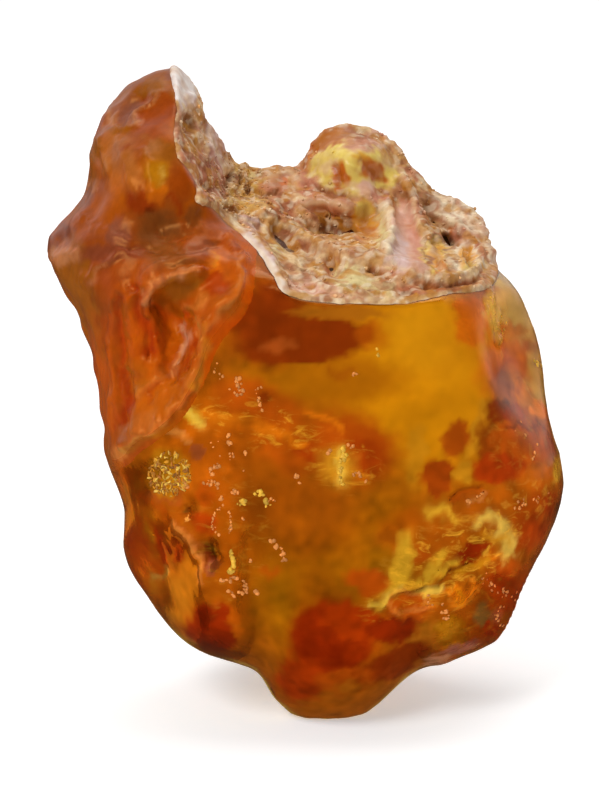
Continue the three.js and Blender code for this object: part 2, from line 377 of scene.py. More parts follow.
def nearness(path: tuple[Pixel, ...], width: float, pixels: np.ndarray) -> np.ndarray:
    """Fall smoothly from 1 on a path to 0 about twice its width away.

    Args:
        path: The path's points, in pixels.
        width: The distance at which the value is about a third, in pixels.
        pixels: The places to measure at.

    Returns:
        The value at each place.
    """
    line = smooth_line(path)
    low, high = line.min(axis=0) - 3 * width, line.max(axis=0) + 3 * width
    near = ((pixels > low) & (pixels < high)).all(axis=1)
    value = np.zeros(len(pixels))
    if near.any():
        value[near] = np.exp(-(path_distance(line, pixels[near])[0] / width) ** 2)
    return value


# The edge of the crust on the broken top, as across and up in the stone, in mm
CRUST_EDGE = ((-15.2, 62.0), (-14.5, 57.7), (-13.8, 54.4), (-14.0, 52.1), (-13.6, 49.9), (-12.6, 48.7),
              (-12.0, 47.1), (-11.9, 45.9), (-10.4, 45.2), (-9.3, 44.2), (-8.3, 43.5),
              (-6.5, 41.4), (-5.2, 39.5), (-4.5, 37.9), (-2.9, 37.2), (0.2, 36.8), (5.1, 36.8),
              (8.3, 37.1), (11.2, 37.7), (14.2, 38.3), (15.4, 40.2), (16.6, 44.0), (18.6, 52.0))

# The edge between the waxy flank, on its left, and the clear window
WAX_EDGE = ((336, -20), (318, 60), (300, 130), (284, 186), (270, 222), (258, 248),
            (255, 272), (253, 294), (245, 314), (230, 331), (217, 349), (209, 372),
            (199, 392), (182, 419), (161, 438), (140, 452), (122, 468), (60, 484))

# How far a place turns to the camera where the photograph's marks end, and where they are full
TURNS_FROM_SIGHT = (-0.15, 0.25)
SIGHT_WAVES = Noise(0.12, 3, 17)

# Wide and fine noise that moves marks right and down, in pixels
RAGS = ((Noise(4.5, 1.4, 41), Noise(2.5, 0.6, 42)), (Noise(4.5, 1.4, 43), Noise(2.5, 0.6, 44)))

# How deep behind the outline's plane the crust reaches, in mm, and where it reaches deeper, on the top
CRUST_WAVES = (Noise(1.4, 3.4, 6), Noise(0.7, 1.2, 7))
CRUST_EDGE_WAVE = 0.12  # the share of the waves that its front edge has
CRUST_DEPTH, CRUST_TOP_DEPTH = 1.4, 8
CRUST_TOP_UP, CRUST_TOP_ACROSS = (37, 47), (-12.5, -7.5)

# How deep the waxy skin reaches, in mm, and the heights at which it reaches deeper, on the fin
WAX_WAVES = (Noise(2.4, 5, 8), Noise(1.0, 1.6, 9))
WAX_TONGUES = (Noise(5, 7, 10), Noise(1.6, 2.4, 11))
WAX_TONGUE_DEPTHS = (-4, 6)  # out of the camera's sight
WAX_DEPTH, WAX_FIN_DEPTH, WAX_FIN_UP = 3, 13, (35, 44)

# Colours seen in the clear resin, from the widest to the finest, with a painted highlight at the top
# of the right shoulder
RESIN_MARKS: tuple[Mark, ...] = (
    Tone.HONEY.oval(425, 385, 85, 90, 0, 1, 0.5),
    Tone.LIGHT_HONEY.oval(430, 335, 50, 42, 0, 1, 0.6),
    Tone.DEEP_HONEY.oval(318, 378, 82, 26, 2),
    Tone.BROWN.oval(270, 540, 80, 80, 0, 1, 0.5),
    Tone.OLIVE.oval(310, 575, 52, 74, 12, 1, 0.5),
    Tone.DEEP_HONEY.oval(380, 530, 40, 50, 0, 1, 0.6),
    Tone.DULL_ORANGE.oval(420, 535, 40, 26, 0, 0.8),
    Tone.DULL_ORANGE.oval(215, 440, 48, 60, 20, 0.8),
    Tone.BROWN.oval(296, 512, 64, 52, 10, 0.85, 0.6),
    Tone.BROWN.oval(318, 600, 24, 30, 0, 0.6, 0.6),
    Tone.RUST.oval(260, 405, 46, 22, 20, 0.8),
    Tone.RUST.oval(352, 448, 46, 34, 14),
    Tone.RUST.oval(290, 450, 34, 22, 20, 0.7),
    Tone.RUBY.oval(306, 452, 16, 9, 10, 0.7),
    Tone.RUBY.oval(362, 452, 22, 14, 20, 0.6),
    Tone.GOLD.oval(414, 456, 9, 30, 4, 0.7),
    Tone.OXBLOOD.oval(270, 322, 38, 44, 4),
    Tone.OXBLOOD.oval(332, 336, 46, 18, 2, 1, 0.2),
    Tone.OXBLOOD.oval(290, 352, 52, 13, 2, 1, 0.2),
    Tone.SIENNA.oval(278, 345, 16, 8, -8, 0.7),
    Tone.DULL_ORANGE.oval(372, 337, 18, 14, 0, 0.5),
    Tone.OCHRE.oval(340, 313, 50, 6, 2, 0.8),
    Tone.BROWN.line(4, 0.7, (328, 369), (340, 378), (350, 370)),
    Tone.ORANGE.oval(471, 322, 18, 26, -6, 1, 0.2),
    Tone.STRAW.oval(518, 312, 30, 31, 10, 1, 0.3),
    Tone.LEMON.oval(520, 308, 27, 32, 10, 0.9, 0.4),
    Tone.YELLOW.oval(508, 332, 14, 9, 20, 0.6),
    Tone.ORANGE.oval(511, 329, 16, 8, 10, 0.7),
    Tone.STRAW.line(4, 0.9, (489, 296), (493, 315), (497, 337)),
    # painted highlight at the top of the right shoulder
    Tone.PALE_LEMON.oval(505, 281, 14, 7, 8),
    Tone.SAND.line(4, 0.8, (524, 290), (538, 318), (547, 350)),
    Tone.ORANGE.oval(508, 372, 28, 34, 0, 1, 0.4),
    Tone.RUST.line(4, 0.6, (497, 376), (503, 361), (517, 361), (525, 375), (517, 389), (504, 385)),
    Tone.STRAW.oval(540, 376, 12, 30, 0, 0.9),
    Tone.OXBLOOD.oval(496, 413, 17, 14, -10, 1, 0.2),
    Tone.RUBY.oval(515, 414, 12, 10, 0, 0.8),
    Tone.OXBLOOD.oval(487, 442, 18, 20, -24, 0.9, 0.2),
    Tone.RUST.oval(524, 442, 32, 22, 4, 1, 0.2),
    Tone.RUBY.oval(500, 468, 28, 15, 4, 1, 0.2),
    Tone.DULL_ORANGE.oval(536, 478, 20, 14, -10, 0.8),
    Tone.FLAME.oval(538, 410, 9, 9, 0, 0.8),
    Tone.OXBLOOD.line(2.5, 0.9, (510, 429), (528, 427), (546, 429)),
    Tone.YELLOW.oval(556, 471, 6, 13, 6),
    Tone.GOLD.line(4, 0.8, (484, 402), (475, 436), (466, 458)),
    Tone.RUST.oval(457, 440, 13, 17, 24, 0.9, 0.2),
    Tone.RUST.oval(438, 476, 17, 20, 0, 1, 0.12),
    Tone.OXBLOOD.oval(438, 476, 16, 19, 0, 0.5, 0.15),
    Tone.OXBLOOD.oval(458, 438, 11, 15, 24, 0.45),
    Tone.GOLD.oval(464, 473, 9, 11, 10, 0.9),
    Tone.RUST.oval(535, 520, 22, 32, 20, 1, 0.25),
    Tone.RUBY.oval(531, 530, 10, 18, 20, 0.7),
    Tone.RUBY.oval(549, 503, 8, 12, 10, 0.8),
    Tone.DULL_ORANGE.oval(490, 505, 32, 14, -20, 0.8),
    Tone.RUST.line(4, 0.8, (450, 500), (466, 494), (484, 488)),
    Tone.APRICOT.line(1.6, 0.8, (466, 500), (479, 497), (487, 490)),
    Tone.RUST.oval(508, 585, 26, 26, 10),
    Tone.RUBY.oval(500, 580, 12, 12, 0, 0.7),
    Tone.DEEP_RUBY.oval(472, 553, 22, 9, -22, 1, 0.2),
    Tone.RUST.oval(422, 556, 12, 9, -10, 0.8),
    Tone.YELLOW.oval(401, 565, 10, 30, 6, 0.9),
    Tone.OLIVE.oval(380, 560, 14, 14, 0, 0.8),
    Tone.BROWN.oval(389, 536, 9, 7, 0, 0.8),
    Tone.RUST.oval(368, 582, 24, 13, 10, 1, 0.2),
    Tone.YELLOW.line(4.5, 0.9, (371, 605), (391, 594), (408, 584)),
    Tone.RUST.oval(408, 609, 24, 14, -8),
    Tone.OCHRE.oval(425, 635, 20, 14, -10),
    Tone.OLIVE.oval(453, 632, 17, 16, -10, 1, 0.2),
    Tone.GOLD.oval(449, 630, 8, 10, 0, 0.5),
    Tone.BROWN.oval(472, 630, 9, 12, 0, 0.8),
    Tone.MOSS.oval(483, 616, 10, 11, 0, 0.9),
    Tone.CLAY.oval(497, 616, 8, 6, 0, 0.8),
    Tone.RUBY.oval(491, 629, 9, 6, -20, 0.8),
    Tone.OCHRE.oval(508, 624, 8, 16, 30, 0.9),
    Tone.MAUVE.oval(458, 650, 24, 4, -20, 0.8),
    Tone.PEACH.oval(439, 660, 13, 6, -8, 0.9),
    Tone.BROWN.line(1.6, 0.7, (375, 600), (398, 590), (416, 583), (433, 578), (448, 571), (460, 564)),
    Tone.DEEP_RUBY.oval(330, 640, 42, 42, -30, 1, 0.22),
    Tone.RUBY.oval(352, 622, 34, 18, 14, 1, 0.2),
    Tone.DEEP_RUBY.oval(392, 630, 26, 13, -4, 1, 0.2),
    Tone.OXBLOOD.oval(396, 662, 36, 14, -30, 1, 0.2),
    Tone.RUBY.oval(300, 680, 24, 22, 0),
    Tone.RUST.oval(345, 680, 28, 12, -6, 0.9),
    Tone.OCHRE.oval(350, 686, 14, 6, -6, 0.7),
    Tone.RUBY.oval(360, 652, 18, 9, -24, 0.7),
    Tone.DEEP_RUBY.oval(213, 628, 27, 25, 20, 1, 0.18),
    Tone.BLACK_RED.oval(205, 617, 10, 7, 0, 0.5),
    Tone.RUBY.oval(203, 637, 8, 6, 0, 0.6),
    Tone.DULL_ORANGE.oval(237, 624, 5, 16, -20, 0.8),
    Tone.OCHRE.oval(168, 600, 26, 26, 40),
    Tone.DULL_ORANGE.oval(118, 500, 18, 46, -8, 0.9),
    Tone.OCHRE.oval(140, 500, 12, 22, -20, 0.8),
    Tone.RUST.oval(142, 550, 17, 26, -30),
    Tone.RUBY.oval(160, 548, 6, 20, -8, 0.9, 0.2),
    Tone.RUBY.oval(175, 550, 7, 15, -14, 0.9, 0.2),
    Tone.RUST.line(4, 0.7, (139, 494), (156, 506), (164, 520)),
    Tone.ORANGE.line(4, 0.6, (147, 524), (152, 544), (158, 558)),
    Tone.ORANGE.line(4, 0.5, (163, 524), (169, 533), (173, 545)),
    Tone.APRICOT.line(2.6, 0.9, (172, 524), (186, 538), (197, 551), (201, 565), (200, 582)),
    Tone.APRICOT.line(2.2, 0.8, (152, 579), (160, 577), (166, 570)),
    Tone.OCHRE.oval(190, 575, 10, 22, 0, 0.7),
    Tone.RUBY.oval(203, 524, 12, 10, 20, 0.8),
    Tone.RUST.oval(206, 495, 10, 12, 0, 0.8),
    Tone.BLACK_RED.oval(186, 511, 5, 6, 30, 1, 0.5),
    Tone.BLACK_RED.oval(208, 553, 8, 10, -30, 0.95, 0.4),
    Tone.PLUM.oval(214, 567, 8, 7, -20, 0.8),
    Tone.PLUM.oval(198, 452, 8, 6, 0, 0.6),
    Tone.GOLD.oval(168, 474, 21, 22, 0, 0.9, 0.3),
    Tone.SIENNA.line(3, 0.7, (150, 492), (160, 498), (174, 499), (184, 492)),
    Tone.ORANGE.line(4.5, 0.9, (205, 414), (229, 419), (250, 422), (270, 430), (290, 437)),
    Tone.ORANGE.line(3, 0.9, (306, 411), (320, 416), (332, 424), (340, 432)),
    Tone.ORANGE.oval(299, 446, 11, 4.5, 4),
    Tone.ORANGE.line(4, 0.8, (336, 452), (340, 466), (340, 482)),
    Tone.ORANGE.oval(361, 474, 9, 5, 20, 0.8),
    Tone.OXBLOOD.oval(266, 399, 7, 4, 50, 0.8),
    Tone.OXBLOOD.oval(233, 316, 14, 18, 30, 0.9),
    Tone.APRICOT.line(2.4, 0.9, (166, 430), (178, 435), (189, 442)),
    Tone.YELLOW.oval(192, 414, 13, 8, 30, 0.9),
    Tone.RUST.line(3, 0.7, (261, 571), (272, 574), (280, 568)),
)

# Colours of the waxy flank and fin, with painted highlights along its ridges and folds, a painted glow
# below the ridge's top, and painted reflections in the fin's scoop and along its left edge
WAX_MARKS: tuple[Mark, ...] = (
    Tone.SIENNA.oval(135, 245, 80, 34, 0, 0.8),
    Tone.OCHRE.oval(85, 290, 18, 55, -18, 0.9),
    Tone.SIENNA.oval(110, 300, 14, 50, -8, 0.8),
    Tone.DULL_ORANGE.oval(160, 350, 40, 60, 8),
    Tone.ORANGE.oval(150, 400, 32, 26, -40, 0.6),
    Tone.OCHRE.oval(134, 380, 12, 22, -10, 0.7),
    Tone.DULL_ORANGE.oval(112, 400, 12, 60, -6, 0.9),
    Tone.RUBY.line(6, 0.95, (134, 292), (141, 312), (147, 330), (152, 347), (147, 353)),
    Tone.RUBY.line(6, 0.95, (124, 372), (124, 387), (128, 402), (121, 424)),
    Tone.RUBY.line(3, 0.8, (117, 300), (120, 335), (124, 362)),
    Tone.BROWN.line(4, 0.7, (98, 290), (102, 320), (106, 350)),
    Tone.OCHRE.oval(184, 286, 22, 14, -6, 0.9),
    Tone.BROWN.oval(159, 304, 10, 7, 0, 0.9),
    Tone.RUBY.line(3.4, 0.8, (187, 314), (194, 334), (190, 356), (179, 377)),
    # painted highlight along the arch of the flank
    Tone.PEACH.line(4, 0.9, (146, 302), (147, 293), (153, 284), (168, 278), (182, 275)),
    Tone.APRICOT.line(3, 0.9, (202, 298), (198, 307), (186, 307)),
    # painted highlight in the hollow
    Tone.PINK.line(2.6, 1.0, (181, 326), (186, 338), (183, 350), (176, 361)),
    Tone.CLAY.oval(175, 371, 5, 8, 20, 0.9),
    # painted highlights along the flank's main ridge
    Tone.APRICOT.line(4, 0.8, (196, 320), (202, 347), (196, 370), (188, 388)),
    Tone.YELLOW.line(3, 0.6, (205, 328), (205, 350), (199, 374), (191, 390)),
    Tone.RUST.line(2.6, 0.8, (160, 381), (154, 390), (151, 398)),
    Tone.APRICOT.line(4, 0.6, (162, 374), (148, 386), (139, 396)),
    # painted highlight along the ridge's lower part
    Tone.APRICOT.line(3, 0.9, (184, 396), (168, 419), (147, 431), (126, 444)),
    Tone.APRICOT.oval(140, 425, 20, 9, -34, 0.5),
    # painted highlight at the ridge's tip
    Tone.APRICOT.oval(119, 453, 8, 7, 0, 0.9),
    Tone.DULL_ORANGE.line(9, 0.9, (228, 234), (234, 262), (232, 292), (218, 310)),
    # painted highlight along the ridge's upper part
    Tone.APRICOT.line(3.4, 0.9, (240, 262), (242, 278), (230, 302), (214, 318), (207, 334)),
    # painted glow of light shining through the flank
    Tone.FLAME.oval(217, 266, 7, 13, 0, 1.0, 0.5),
    Tone.YELLOW.oval(217, 262, 3, 7, 0, 0.6, 0.5),
    Tone.RUBY.oval(216, 286, 13, 9, -10, 0.9),
    Tone.APRICOT.line(3, 0.8, (216, 236), (212, 250), (212, 262)),
    Tone.OXBLOOD.oval(233, 245, 5, 6, 0, 0.8),
    Tone.RUST.line(5, 0.9, (256, 276), (254, 294), (246, 312), (232, 328)),
    # painted highlight along the flank's upper fold
    Tone.CLAY.line(3.4, 0.8, (143, 271), (161, 265), (181, 260), (198, 258)),
    Tone.SIENNA.line(3, 0.8, (192, 272), (205, 269), (218, 271)),
    # painted highlight
    Tone.PEACH.line(2.4, 0.9, (182, 271), (190, 270), (198, 271)),
    Tone.SIENNA.line(4, 0.9, (88, 282), (110, 282), (130, 276)),
    Tone.PEACH.line(3, 0.6, (90, 282), (100, 270), (110, 257)),
    Tone.PLUM.oval(113, 254, 37.4, 8.8, 0, 0.8),
    Tone.PLUM.oval(93, 230, 11, 8.8, -20, 0.7),
    Tone.PEACH.oval(62, 256, 15.4, 9.9, 0, 0.8),
    Tone.MAUVE.oval(51, 243, 6.6, 8.8, 0, 0.8),
    Tone.OCHRE.oval(62, 278, 9.9, 13.2, -30, 0.9),
    Tone.PLUM.oval(64, 232, 9.9, 8.8, -40, 0.8),
    Tone.DULL_ORANGE.oval(95, 220, 22, 15.4, -30, 0.7),
    Tone.MAUVE.oval(86, 201, 5.5, 9.9, 20, 0.8),
    Tone.PEACH.oval(87, 186, 5.5, 4.4, 0, 0.7),
    Tone.UMBER.oval(157, 230, 19.8, 22, 0, 0.9),
    Tone.UMBER.oval(170, 256, 22, 13.2, 0, 0.8),
    Tone.MAUVE.oval(118, 232, 11, 14.3, 0, 0.7),
    Tone.MAUVE.oval(201, 248, 15.4, 8.8, -6, 0.8),
    Tone.SIENNA.oval(216, 234, 15.4, 11, 20, 0.9),
    Tone.RUBY.oval(142, 201, 14.3, 14.3, 0, 0.9),
    Tone.BLACK_RED.oval(149, 212, 4.4, 4.4, 0, 0.7),
    Tone.RUBY.line(3, 0.9, (161, 203), (169, 196), (178, 203), (179, 212)),
    Tone.UMBER.oval(194, 216, 8.8, 11, 20, 0.7),
    Tone.FLAME.oval(157, 190, 9.9, 13.2, 0, 0.8),
    Tone.GOLD.oval(158, 174, 11, 9.9, 0, 0.9),
    Tone.LIGHT_HONEY.oval(158, 168, 12, 14, 0, 0.6, 0.6),
    Tone.STRAW.line(1.6, 0.9, (162, 170), (163, 181)),
    Tone.RUST.oval(180, 185, 11, 15.4, -20, 0.9),
    Tone.OCHRE.oval(159, 150, 15.4, 13.2, 0, 0.9),
    Tone.SIENNA.oval(121, 164, 15.4, 26.4, -6, 0.6),
    Tone.APRICOT.oval(132, 176, 8.8, 19.8, -6, 0.4),
    Tone.APRICOT.oval(117, 156, 17, 28, -8, 0.65, 0.5),
    Tone.FLAME.oval(119, 184, 11, 15, 0, 0.55, 0.6),
    Tone.APRICOT.line(2.4, 0.9, (100, 145), (104, 158), (107, 172)),
    Tone.RUST.oval(124, 147, 4.4, 4.4, 0, 0.8),
    Tone.OCHRE.oval(93, 150, 6.6, 14.3, 14, 0.9),
    Tone.RUST.oval(157, 115, 18.7, 24.2, -4, 1.0, 0.2),
    Tone.RUST.oval(163, 100, 9.9, 15.4, 0, 0.8),
    Tone.OCHRE.oval(152, 86, 13.2, 7.7, -20, 0.9),
    # painted reflection in the fin's scoop
    Tone.CLAY.oval(124, 108, 18.7, 11, -34, 0.9),
    Tone.MAUVE.oval(130, 110, 14.3, 8.8, -34, 0.9),
    # painted highlights on the scoop's rim and inside it
    Tone.PEACH.line(2.4, 0.9, (157, 92), (151, 102), (141, 111), (130, 123)),
    Tone.PEACH.line(3, 0.8, (110, 107), (110, 117), (115, 125)),
    Tone.OCHRE.oval(119, 128, 13.2, 6.6, -10, 0.8),
    # painted reflection along the fin's left edge
    Tone.MAUVE.line(2.6, 0.7, (97, 133), (104, 113), (119, 91), (143, 78)),
    Tone.MAUVE.oval(171, 74, 6.6, 5.5, 0, 0.8),
)

# Colours of the crust on the broken top, with painted shade in its grooves and pits, painted
# highlights on some ridges, and a white edge that is partly painted highlight
CRUST_MARKS: tuple[Mark, ...] = (
    Tone.SAND.oval(240, 188, 28, 32, 0, 1, 0.5),
    Tone.STRAW.oval(240, 186, 24, 26, 0, 0.5, 0.6),
    Tone.CLAY.oval(284, 182, 26, 17, 0, 0.8),
    Tone.EARTH.oval(284, 172, 16, 7, 0, 0.6),
    Tone.TOFFEE.oval(284, 184, 5, 4),
    Tone.SAND.oval(294, 186, 6, 8, 0, 0.7),
    Tone.ROSE.oval(308, 184, 11, 10, 40, 0.9),
    Tone.ROSE.oval(200, 150, 22, 46, -26, 0.9),
    # the white tip of the fin, partly painted highlight
    Tone.CHALK.oval(181, 86, 16, 24, -10, 1.0, 0.25),
    Tone.LILAC.oval(190, 104, 7, 11, -10, 0.8),
    Tone.DARK_SAND.oval(187, 124, 9, 11, -20, 0.9),
    Tone.SAND.oval(194, 144, 13, 11, 0, 0.7),
    Tone.CREAM.line(2.8, 0.9, (175, 108), (173, 130), (177, 155), (187, 168)),
    Tone.CREAM.line(2.4, 0.9, (185, 104), (196, 117), (207, 125)),
    Tone.PLUM.line(2.4, 0.8, (198, 113), (206, 126), (210, 148), (209, 168)),
    Tone.LILAC.line(5, 1.0, (209, 130), (215, 146), (221, 160), (230, 172)),
    Tone.ROSE.oval(214, 188, 12, 12, -30, 0.8),
    Tone.PLUM.oval(208, 189, 4, 3, 0, 0.7),
    Tone.CREAM.line(3, 0.7, (197, 198), (208, 203), (220, 205), (232, 202)),
    Tone.DARK_SAND.oval(230, 211, 10, 5, 8, 0.9),
    Tone.LILAC.oval(248, 221, 12, 7, 30, 0.8),
    Tone.CREAM.oval(228, 170, 6, 10, 0, 0.6),
    # painted shade in small pits
    Tone.EARTH.oval(227, 182, 2.6, 7, 0, 0.9),
    Tone.EARTH.oval(237, 179, 3, 4, 0, 0.9),
    Tone.EARTH.oval(247, 188, 3, 5, 0, 0.9),
    Tone.EARTH.line(2, 0.9, (257, 193), (266, 195), (276, 193)),
    Tone.PALE_LEMON.oval(256, 176, 7, 7, 0, 0.6),
    Tone.CREAM.oval(300, 197, 7, 4, 0, 0.9),
    Tone.CLAY.oval(284, 210, 14, 9, 0, 0.9),
    Tone.EARTH.oval(276, 216, 6, 5, 20, 0.8),
    Tone.ROSE.oval(320, 204, 24, 8, 0, 0.9),
    Tone.CLAY.oval(330, 212, 20, 8, 4, 0.9),
    Tone.PEACH.line(2.6, 0.8, (298, 210), (308, 220), (320, 226)),
    # painted shade in a long groove
    Tone.EARTH.line(4, 1.0, (318, 222), (332, 227), (350, 224)),
    Tone.HOLE.oval(340, 228, 9, 4, 0, 0.6),
    Tone.TOFFEE.oval(347, 224, 8, 6, 0, 0.9),
    Tone.SAND.oval(330, 240, 24, 7, 10, 0.8),
    # painted highlight along a ridge
    Tone.CREAM.line(2.8, 0.9, (262, 216), (276, 222), (290, 229), (302, 237), (326, 250)),
    Tone.EARTH.oval(282, 236, 12, 7, 40, 0.9),
    Tone.DARK_SAND.oval(292, 246, 7, 5, 40, 0.7),
    Tone.PALE_LEMON.oval(278, 250, 10, 7, 40, 0.7),
    Tone.CLAY.oval(303, 244, 9, 6, 40, 0.8),
    Tone.TAN.oval(340, 250, 26, 9, 18, 0.8),
    Tone.CREAM.oval(298, 262, 18, 9, 40, 0.9),
    Tone.CLAY.oval(329, 264, 5, 10, 10, 0.9),
    Tone.EARTH.line(1.8, 0.9, (304, 271), (312, 275), (320, 279)),
    Tone.PALE_LEMON.oval(348, 276, 16, 14, 20, 0.9),
    Tone.PALE_LEMON.oval(376, 288, 20, 9, 8, 0.7),
    Tone.PINK.oval(306, 286, 22, 9, 14, 0.9),
    Tone.PINK.oval(330, 291, 18, 4, 8, 0.8),
    Tone.ROSE.line(2.4, 0.9, (324, 290), (340, 294), (354, 296)),
    Tone.CREAM.line(4, 0.9, (284, 290), (300, 298), (332, 304), (386, 304), (421, 301),
                    (450, 294), (489, 287)),
    Tone.PINK.oval(406, 268, 26, 8, 14, 0.9),
    Tone.LILAC.oval(398, 264, 12, 6, 14, 0.7),
    Tone.EARTH.oval(373, 270, 5, 3.6, 20, 0.9),
    Tone.DARK_SAND.oval(381, 276, 7, 4, 20, 0.9),
    Tone.CLAY.oval(408, 291, 16, 6, 8, 0.9),
    Tone.EARTH.oval(408, 296, 9, 3, 8, 0.9),
    Tone.ROSE.line(4, 0.9, (410, 276), (436, 281), (470, 278)),
    Tone.TOFFEE.line(3.4, 0.8, (424, 289), (448, 288), (474, 286)),
    Tone.CREAM.line(2.4, 0.9, (444, 295), (466, 290), (488, 286)),
    Tone.ROSE.oval(408, 202, 12, 22, -20, 0.8),
    Tone.DARK_SAND.oval(404, 190, 7, 8, -20, 0.7),
    Tone.PEACH.line(2.6, 0.8, (402, 180), (411, 192), (414, 206)),
    Tone.PINK.oval(408, 238, 15, 34, -14, 1.0, 0.25),
    Tone.ROSE.oval(408, 240, 12, 30, -14, 0.4),
    Tone.LILAC.oval(398, 250, 9, 20, -14, 0.8),
    Tone.ROSE.oval(416, 244, 6, 22, -14, 0.8),
    Tone.PALE_LEMON.line(3.4, 0.9, (379, 210), (382, 228), (381, 246)),
    # painted highlight on the pillar beside the eye
    Tone.IVORY.line(4.4, 1.0, (386, 208), (390, 222), (391, 238), (386, 252)),
    Tone.EYE.oval(365, 215, 13, 17, 0, 1.0, 0.3),
    Tone.LEMON.oval(365, 209, 10, 9, 0, 0.8),
    Tone.TOFFEE.oval(365, 231, 9, 8, 0, 0.6),
    Tone.EARTH.oval(430, 200, 12, 7, 40, 0.9),
    Tone.MOSS.oval(450, 212, 7, 5, 40, 0.8),
    Tone.DARK_SAND.oval(432, 220, 10, 9, 40, 0.8),
    Tone.PEACH.line(3, 0.9, (420, 226), (436, 244), (450, 256), (464, 266)),
    Tone.HOLE.line(1.8, 0.8, (424, 226), (434, 236), (444, 243)),
    Tone.CREAM.oval(452, 222, 4, 5, 0, 1.0),
    Tone.TOFFEE.oval(452, 232, 6, 8, 0, 0.9),
    Tone.HOLE.oval(448, 242, 6.5, 5.5, 10, 1.0, 0.3),
    Tone.LEMON.oval(435, 257, 12, 19, -24, 0.9, 0.3),
    Tone.EYE.oval(436, 258, 8, 14, -24, 1.0, 0.3),
    Tone.TOFFEE.oval(441, 268, 5, 8, -10, 0.8),
    Tone.EARTH.oval(428, 258, 3, 8, -24, 0.9),
    Tone.CREAM.oval(452, 264, 7, 12, -24, 0.9),
    Tone.ROSE.oval(464, 236, 13, 11, 30, 0.9),
    Tone.IVORY.oval(459, 211, 26, 15, 34, 0.75, 0.5),
    Tone.IVORY.oval(467, 258, 14, 18, -10, 0.9, 0.3),
    Tone.EYE.oval(467, 258, 9, 13, -10, 1.0, 0.3),
    Tone.LEMON.oval(470, 268, 8, 6, -10, 0.8),
    Tone.CREAM.line(3, 0.9, (478, 256), (477, 268), (472, 274)),
    Tone.PINK.line(5, 0.9, (452, 204), (470, 214), (484, 232), (492, 252), (494, 268)),
    Tone.CLAY.oval(481, 250, 4, 12, -30, 0.8),
    # the white lip along the crust's edge, partly painted highlight
    Tone.CHALK.line(4.6, 1.0, (243, 236), (256, 246), (268, 261), (276, 278), (281, 290)),
    Tone.LILAC.line(2, 0.7, (248, 236), (262, 248), (273, 262)),
    Tone.LEMON.oval(352, 168, 44, 26, 10, 1.0, 0.2),
    Tone.TOFFEE.oval(330, 138, 22, 9, -18, 1.0, 0.3),
    Tone.OCHRE.oval(331, 137, 20, 9, -18, 0.8),
    Tone.TOFFEE.oval(309, 158, 5, 14, 14, 0.8),
    Tone.ROSE.oval(362, 142, 16, 10, 6, 0.9),
    Tone.EARTH.oval(356, 136, 16, 5, 4, 0.5),
    Tone.CREAM.oval(330, 166, 10, 6, -30, 0.7),
    Tone.CREAM.oval(386, 168, 6, 9, -20, 0.7),
    Tone.CREAM.oval(352, 186, 9, 4, 20, 0.7),
    Tone.PINK.oval(377, 140, 11, 8, 20, 0.9),
    Tone.SAND.oval(390, 156, 8, 16, -20, 0.7),
    Tone.TOFFEE.oval(339, 177, 9, 14, 4, 1.0, 0.3),
    Tone.TOFFEE.oval(371, 169, 17, 11, 34, 1.0, 0.3),
    Tone.EYE.oval(362, 158, 9, 5, 10, 0.7),
    Tone.LEMON.oval(392, 176, 7, 9, -20, 1.0),
    Tone.PINK.oval(368, 190, 11, 8, 30, 1.0),
    Tone.ROSE.oval(381, 194, 10, 6, 30, 0.9),
    Tone.CLAY.oval(328, 197, 18, 5, 8, 0.8),
)

# Ridges and grooves of the resin and the waxy flank that are finer than the solid's
BODY_FOLDS = (
    Fold(0.45, 5, ((229, 236), (238, 262), (237, 288), (222, 306), (208, 322), (201, 345), (194, 372),
                  (183, 396), (166, 419), (146, 432), (122, 446))),
    Fold(0.5, 4.5, ((204, 272), (183, 275), (163, 280), (150, 290), (146, 303))),
    Fold(0.3, 4, ((146, 303), (151, 325), (157, 350), (158, 370))),
    Fold(0.3, 4, ((162, 374), (148, 386), (136, 398))),
    Fold(0.22, 3, ((180, 322), (186, 338), (183, 352), (174, 364))),
    Fold(0.25, 4, ((128, 300), (132, 340), (136, 372))),
    Fold(0.25, 4, ((110, 300), (113, 350), (115, 400))),
    Fold(0.25, 3.6, ((143, 271), (161, 265), (181, 260), (200, 258))),
    Fold(0.25, 3.4, ((80, 284), (95, 270), (110, 258), (124, 252))),
    Fold(0.25, 4, ((53, 258), (69, 254), (86, 258))),
    Fold(0.3, 4, ((157, 91), (151, 102), (140, 112), (128, 125), (115, 127))),
    Fold(0.3, 3.4, ((99, 141), (104, 158), (108, 174))),
    Fold(0.2, 4, ((119, 137), (126, 165), (135, 192))),
    Fold(0.2, 3.4, ((143, 148), (150, 170), (152, 192))),
    Fold(0.2, 3.4, ((82, 214), (102, 229), (128, 240))),
    Fold(0.08, 7, ((170, 560), (186, 538), (174, 525), (160, 512), (150, 498))),
    Fold(0.16, 7, ((174, 525), (187, 538), (198, 551), (202, 566), (200, 584))),
    Fold(0.06, 6, ((146, 522), (152, 545), (160, 562))),
    Fold(0.3, 4, ((371, 606), (392, 595), (416, 585), (440, 573), (462, 561))),
    Fold(0.25, 4, ((388, 605), (405, 616), (429, 608))),
    Fold(0.25, 4, ((446, 588), (455, 601), (466, 596), (473, 581))),
    Fold(0.3, 3, ((489, 292), (493, 315), (498, 340))),
)
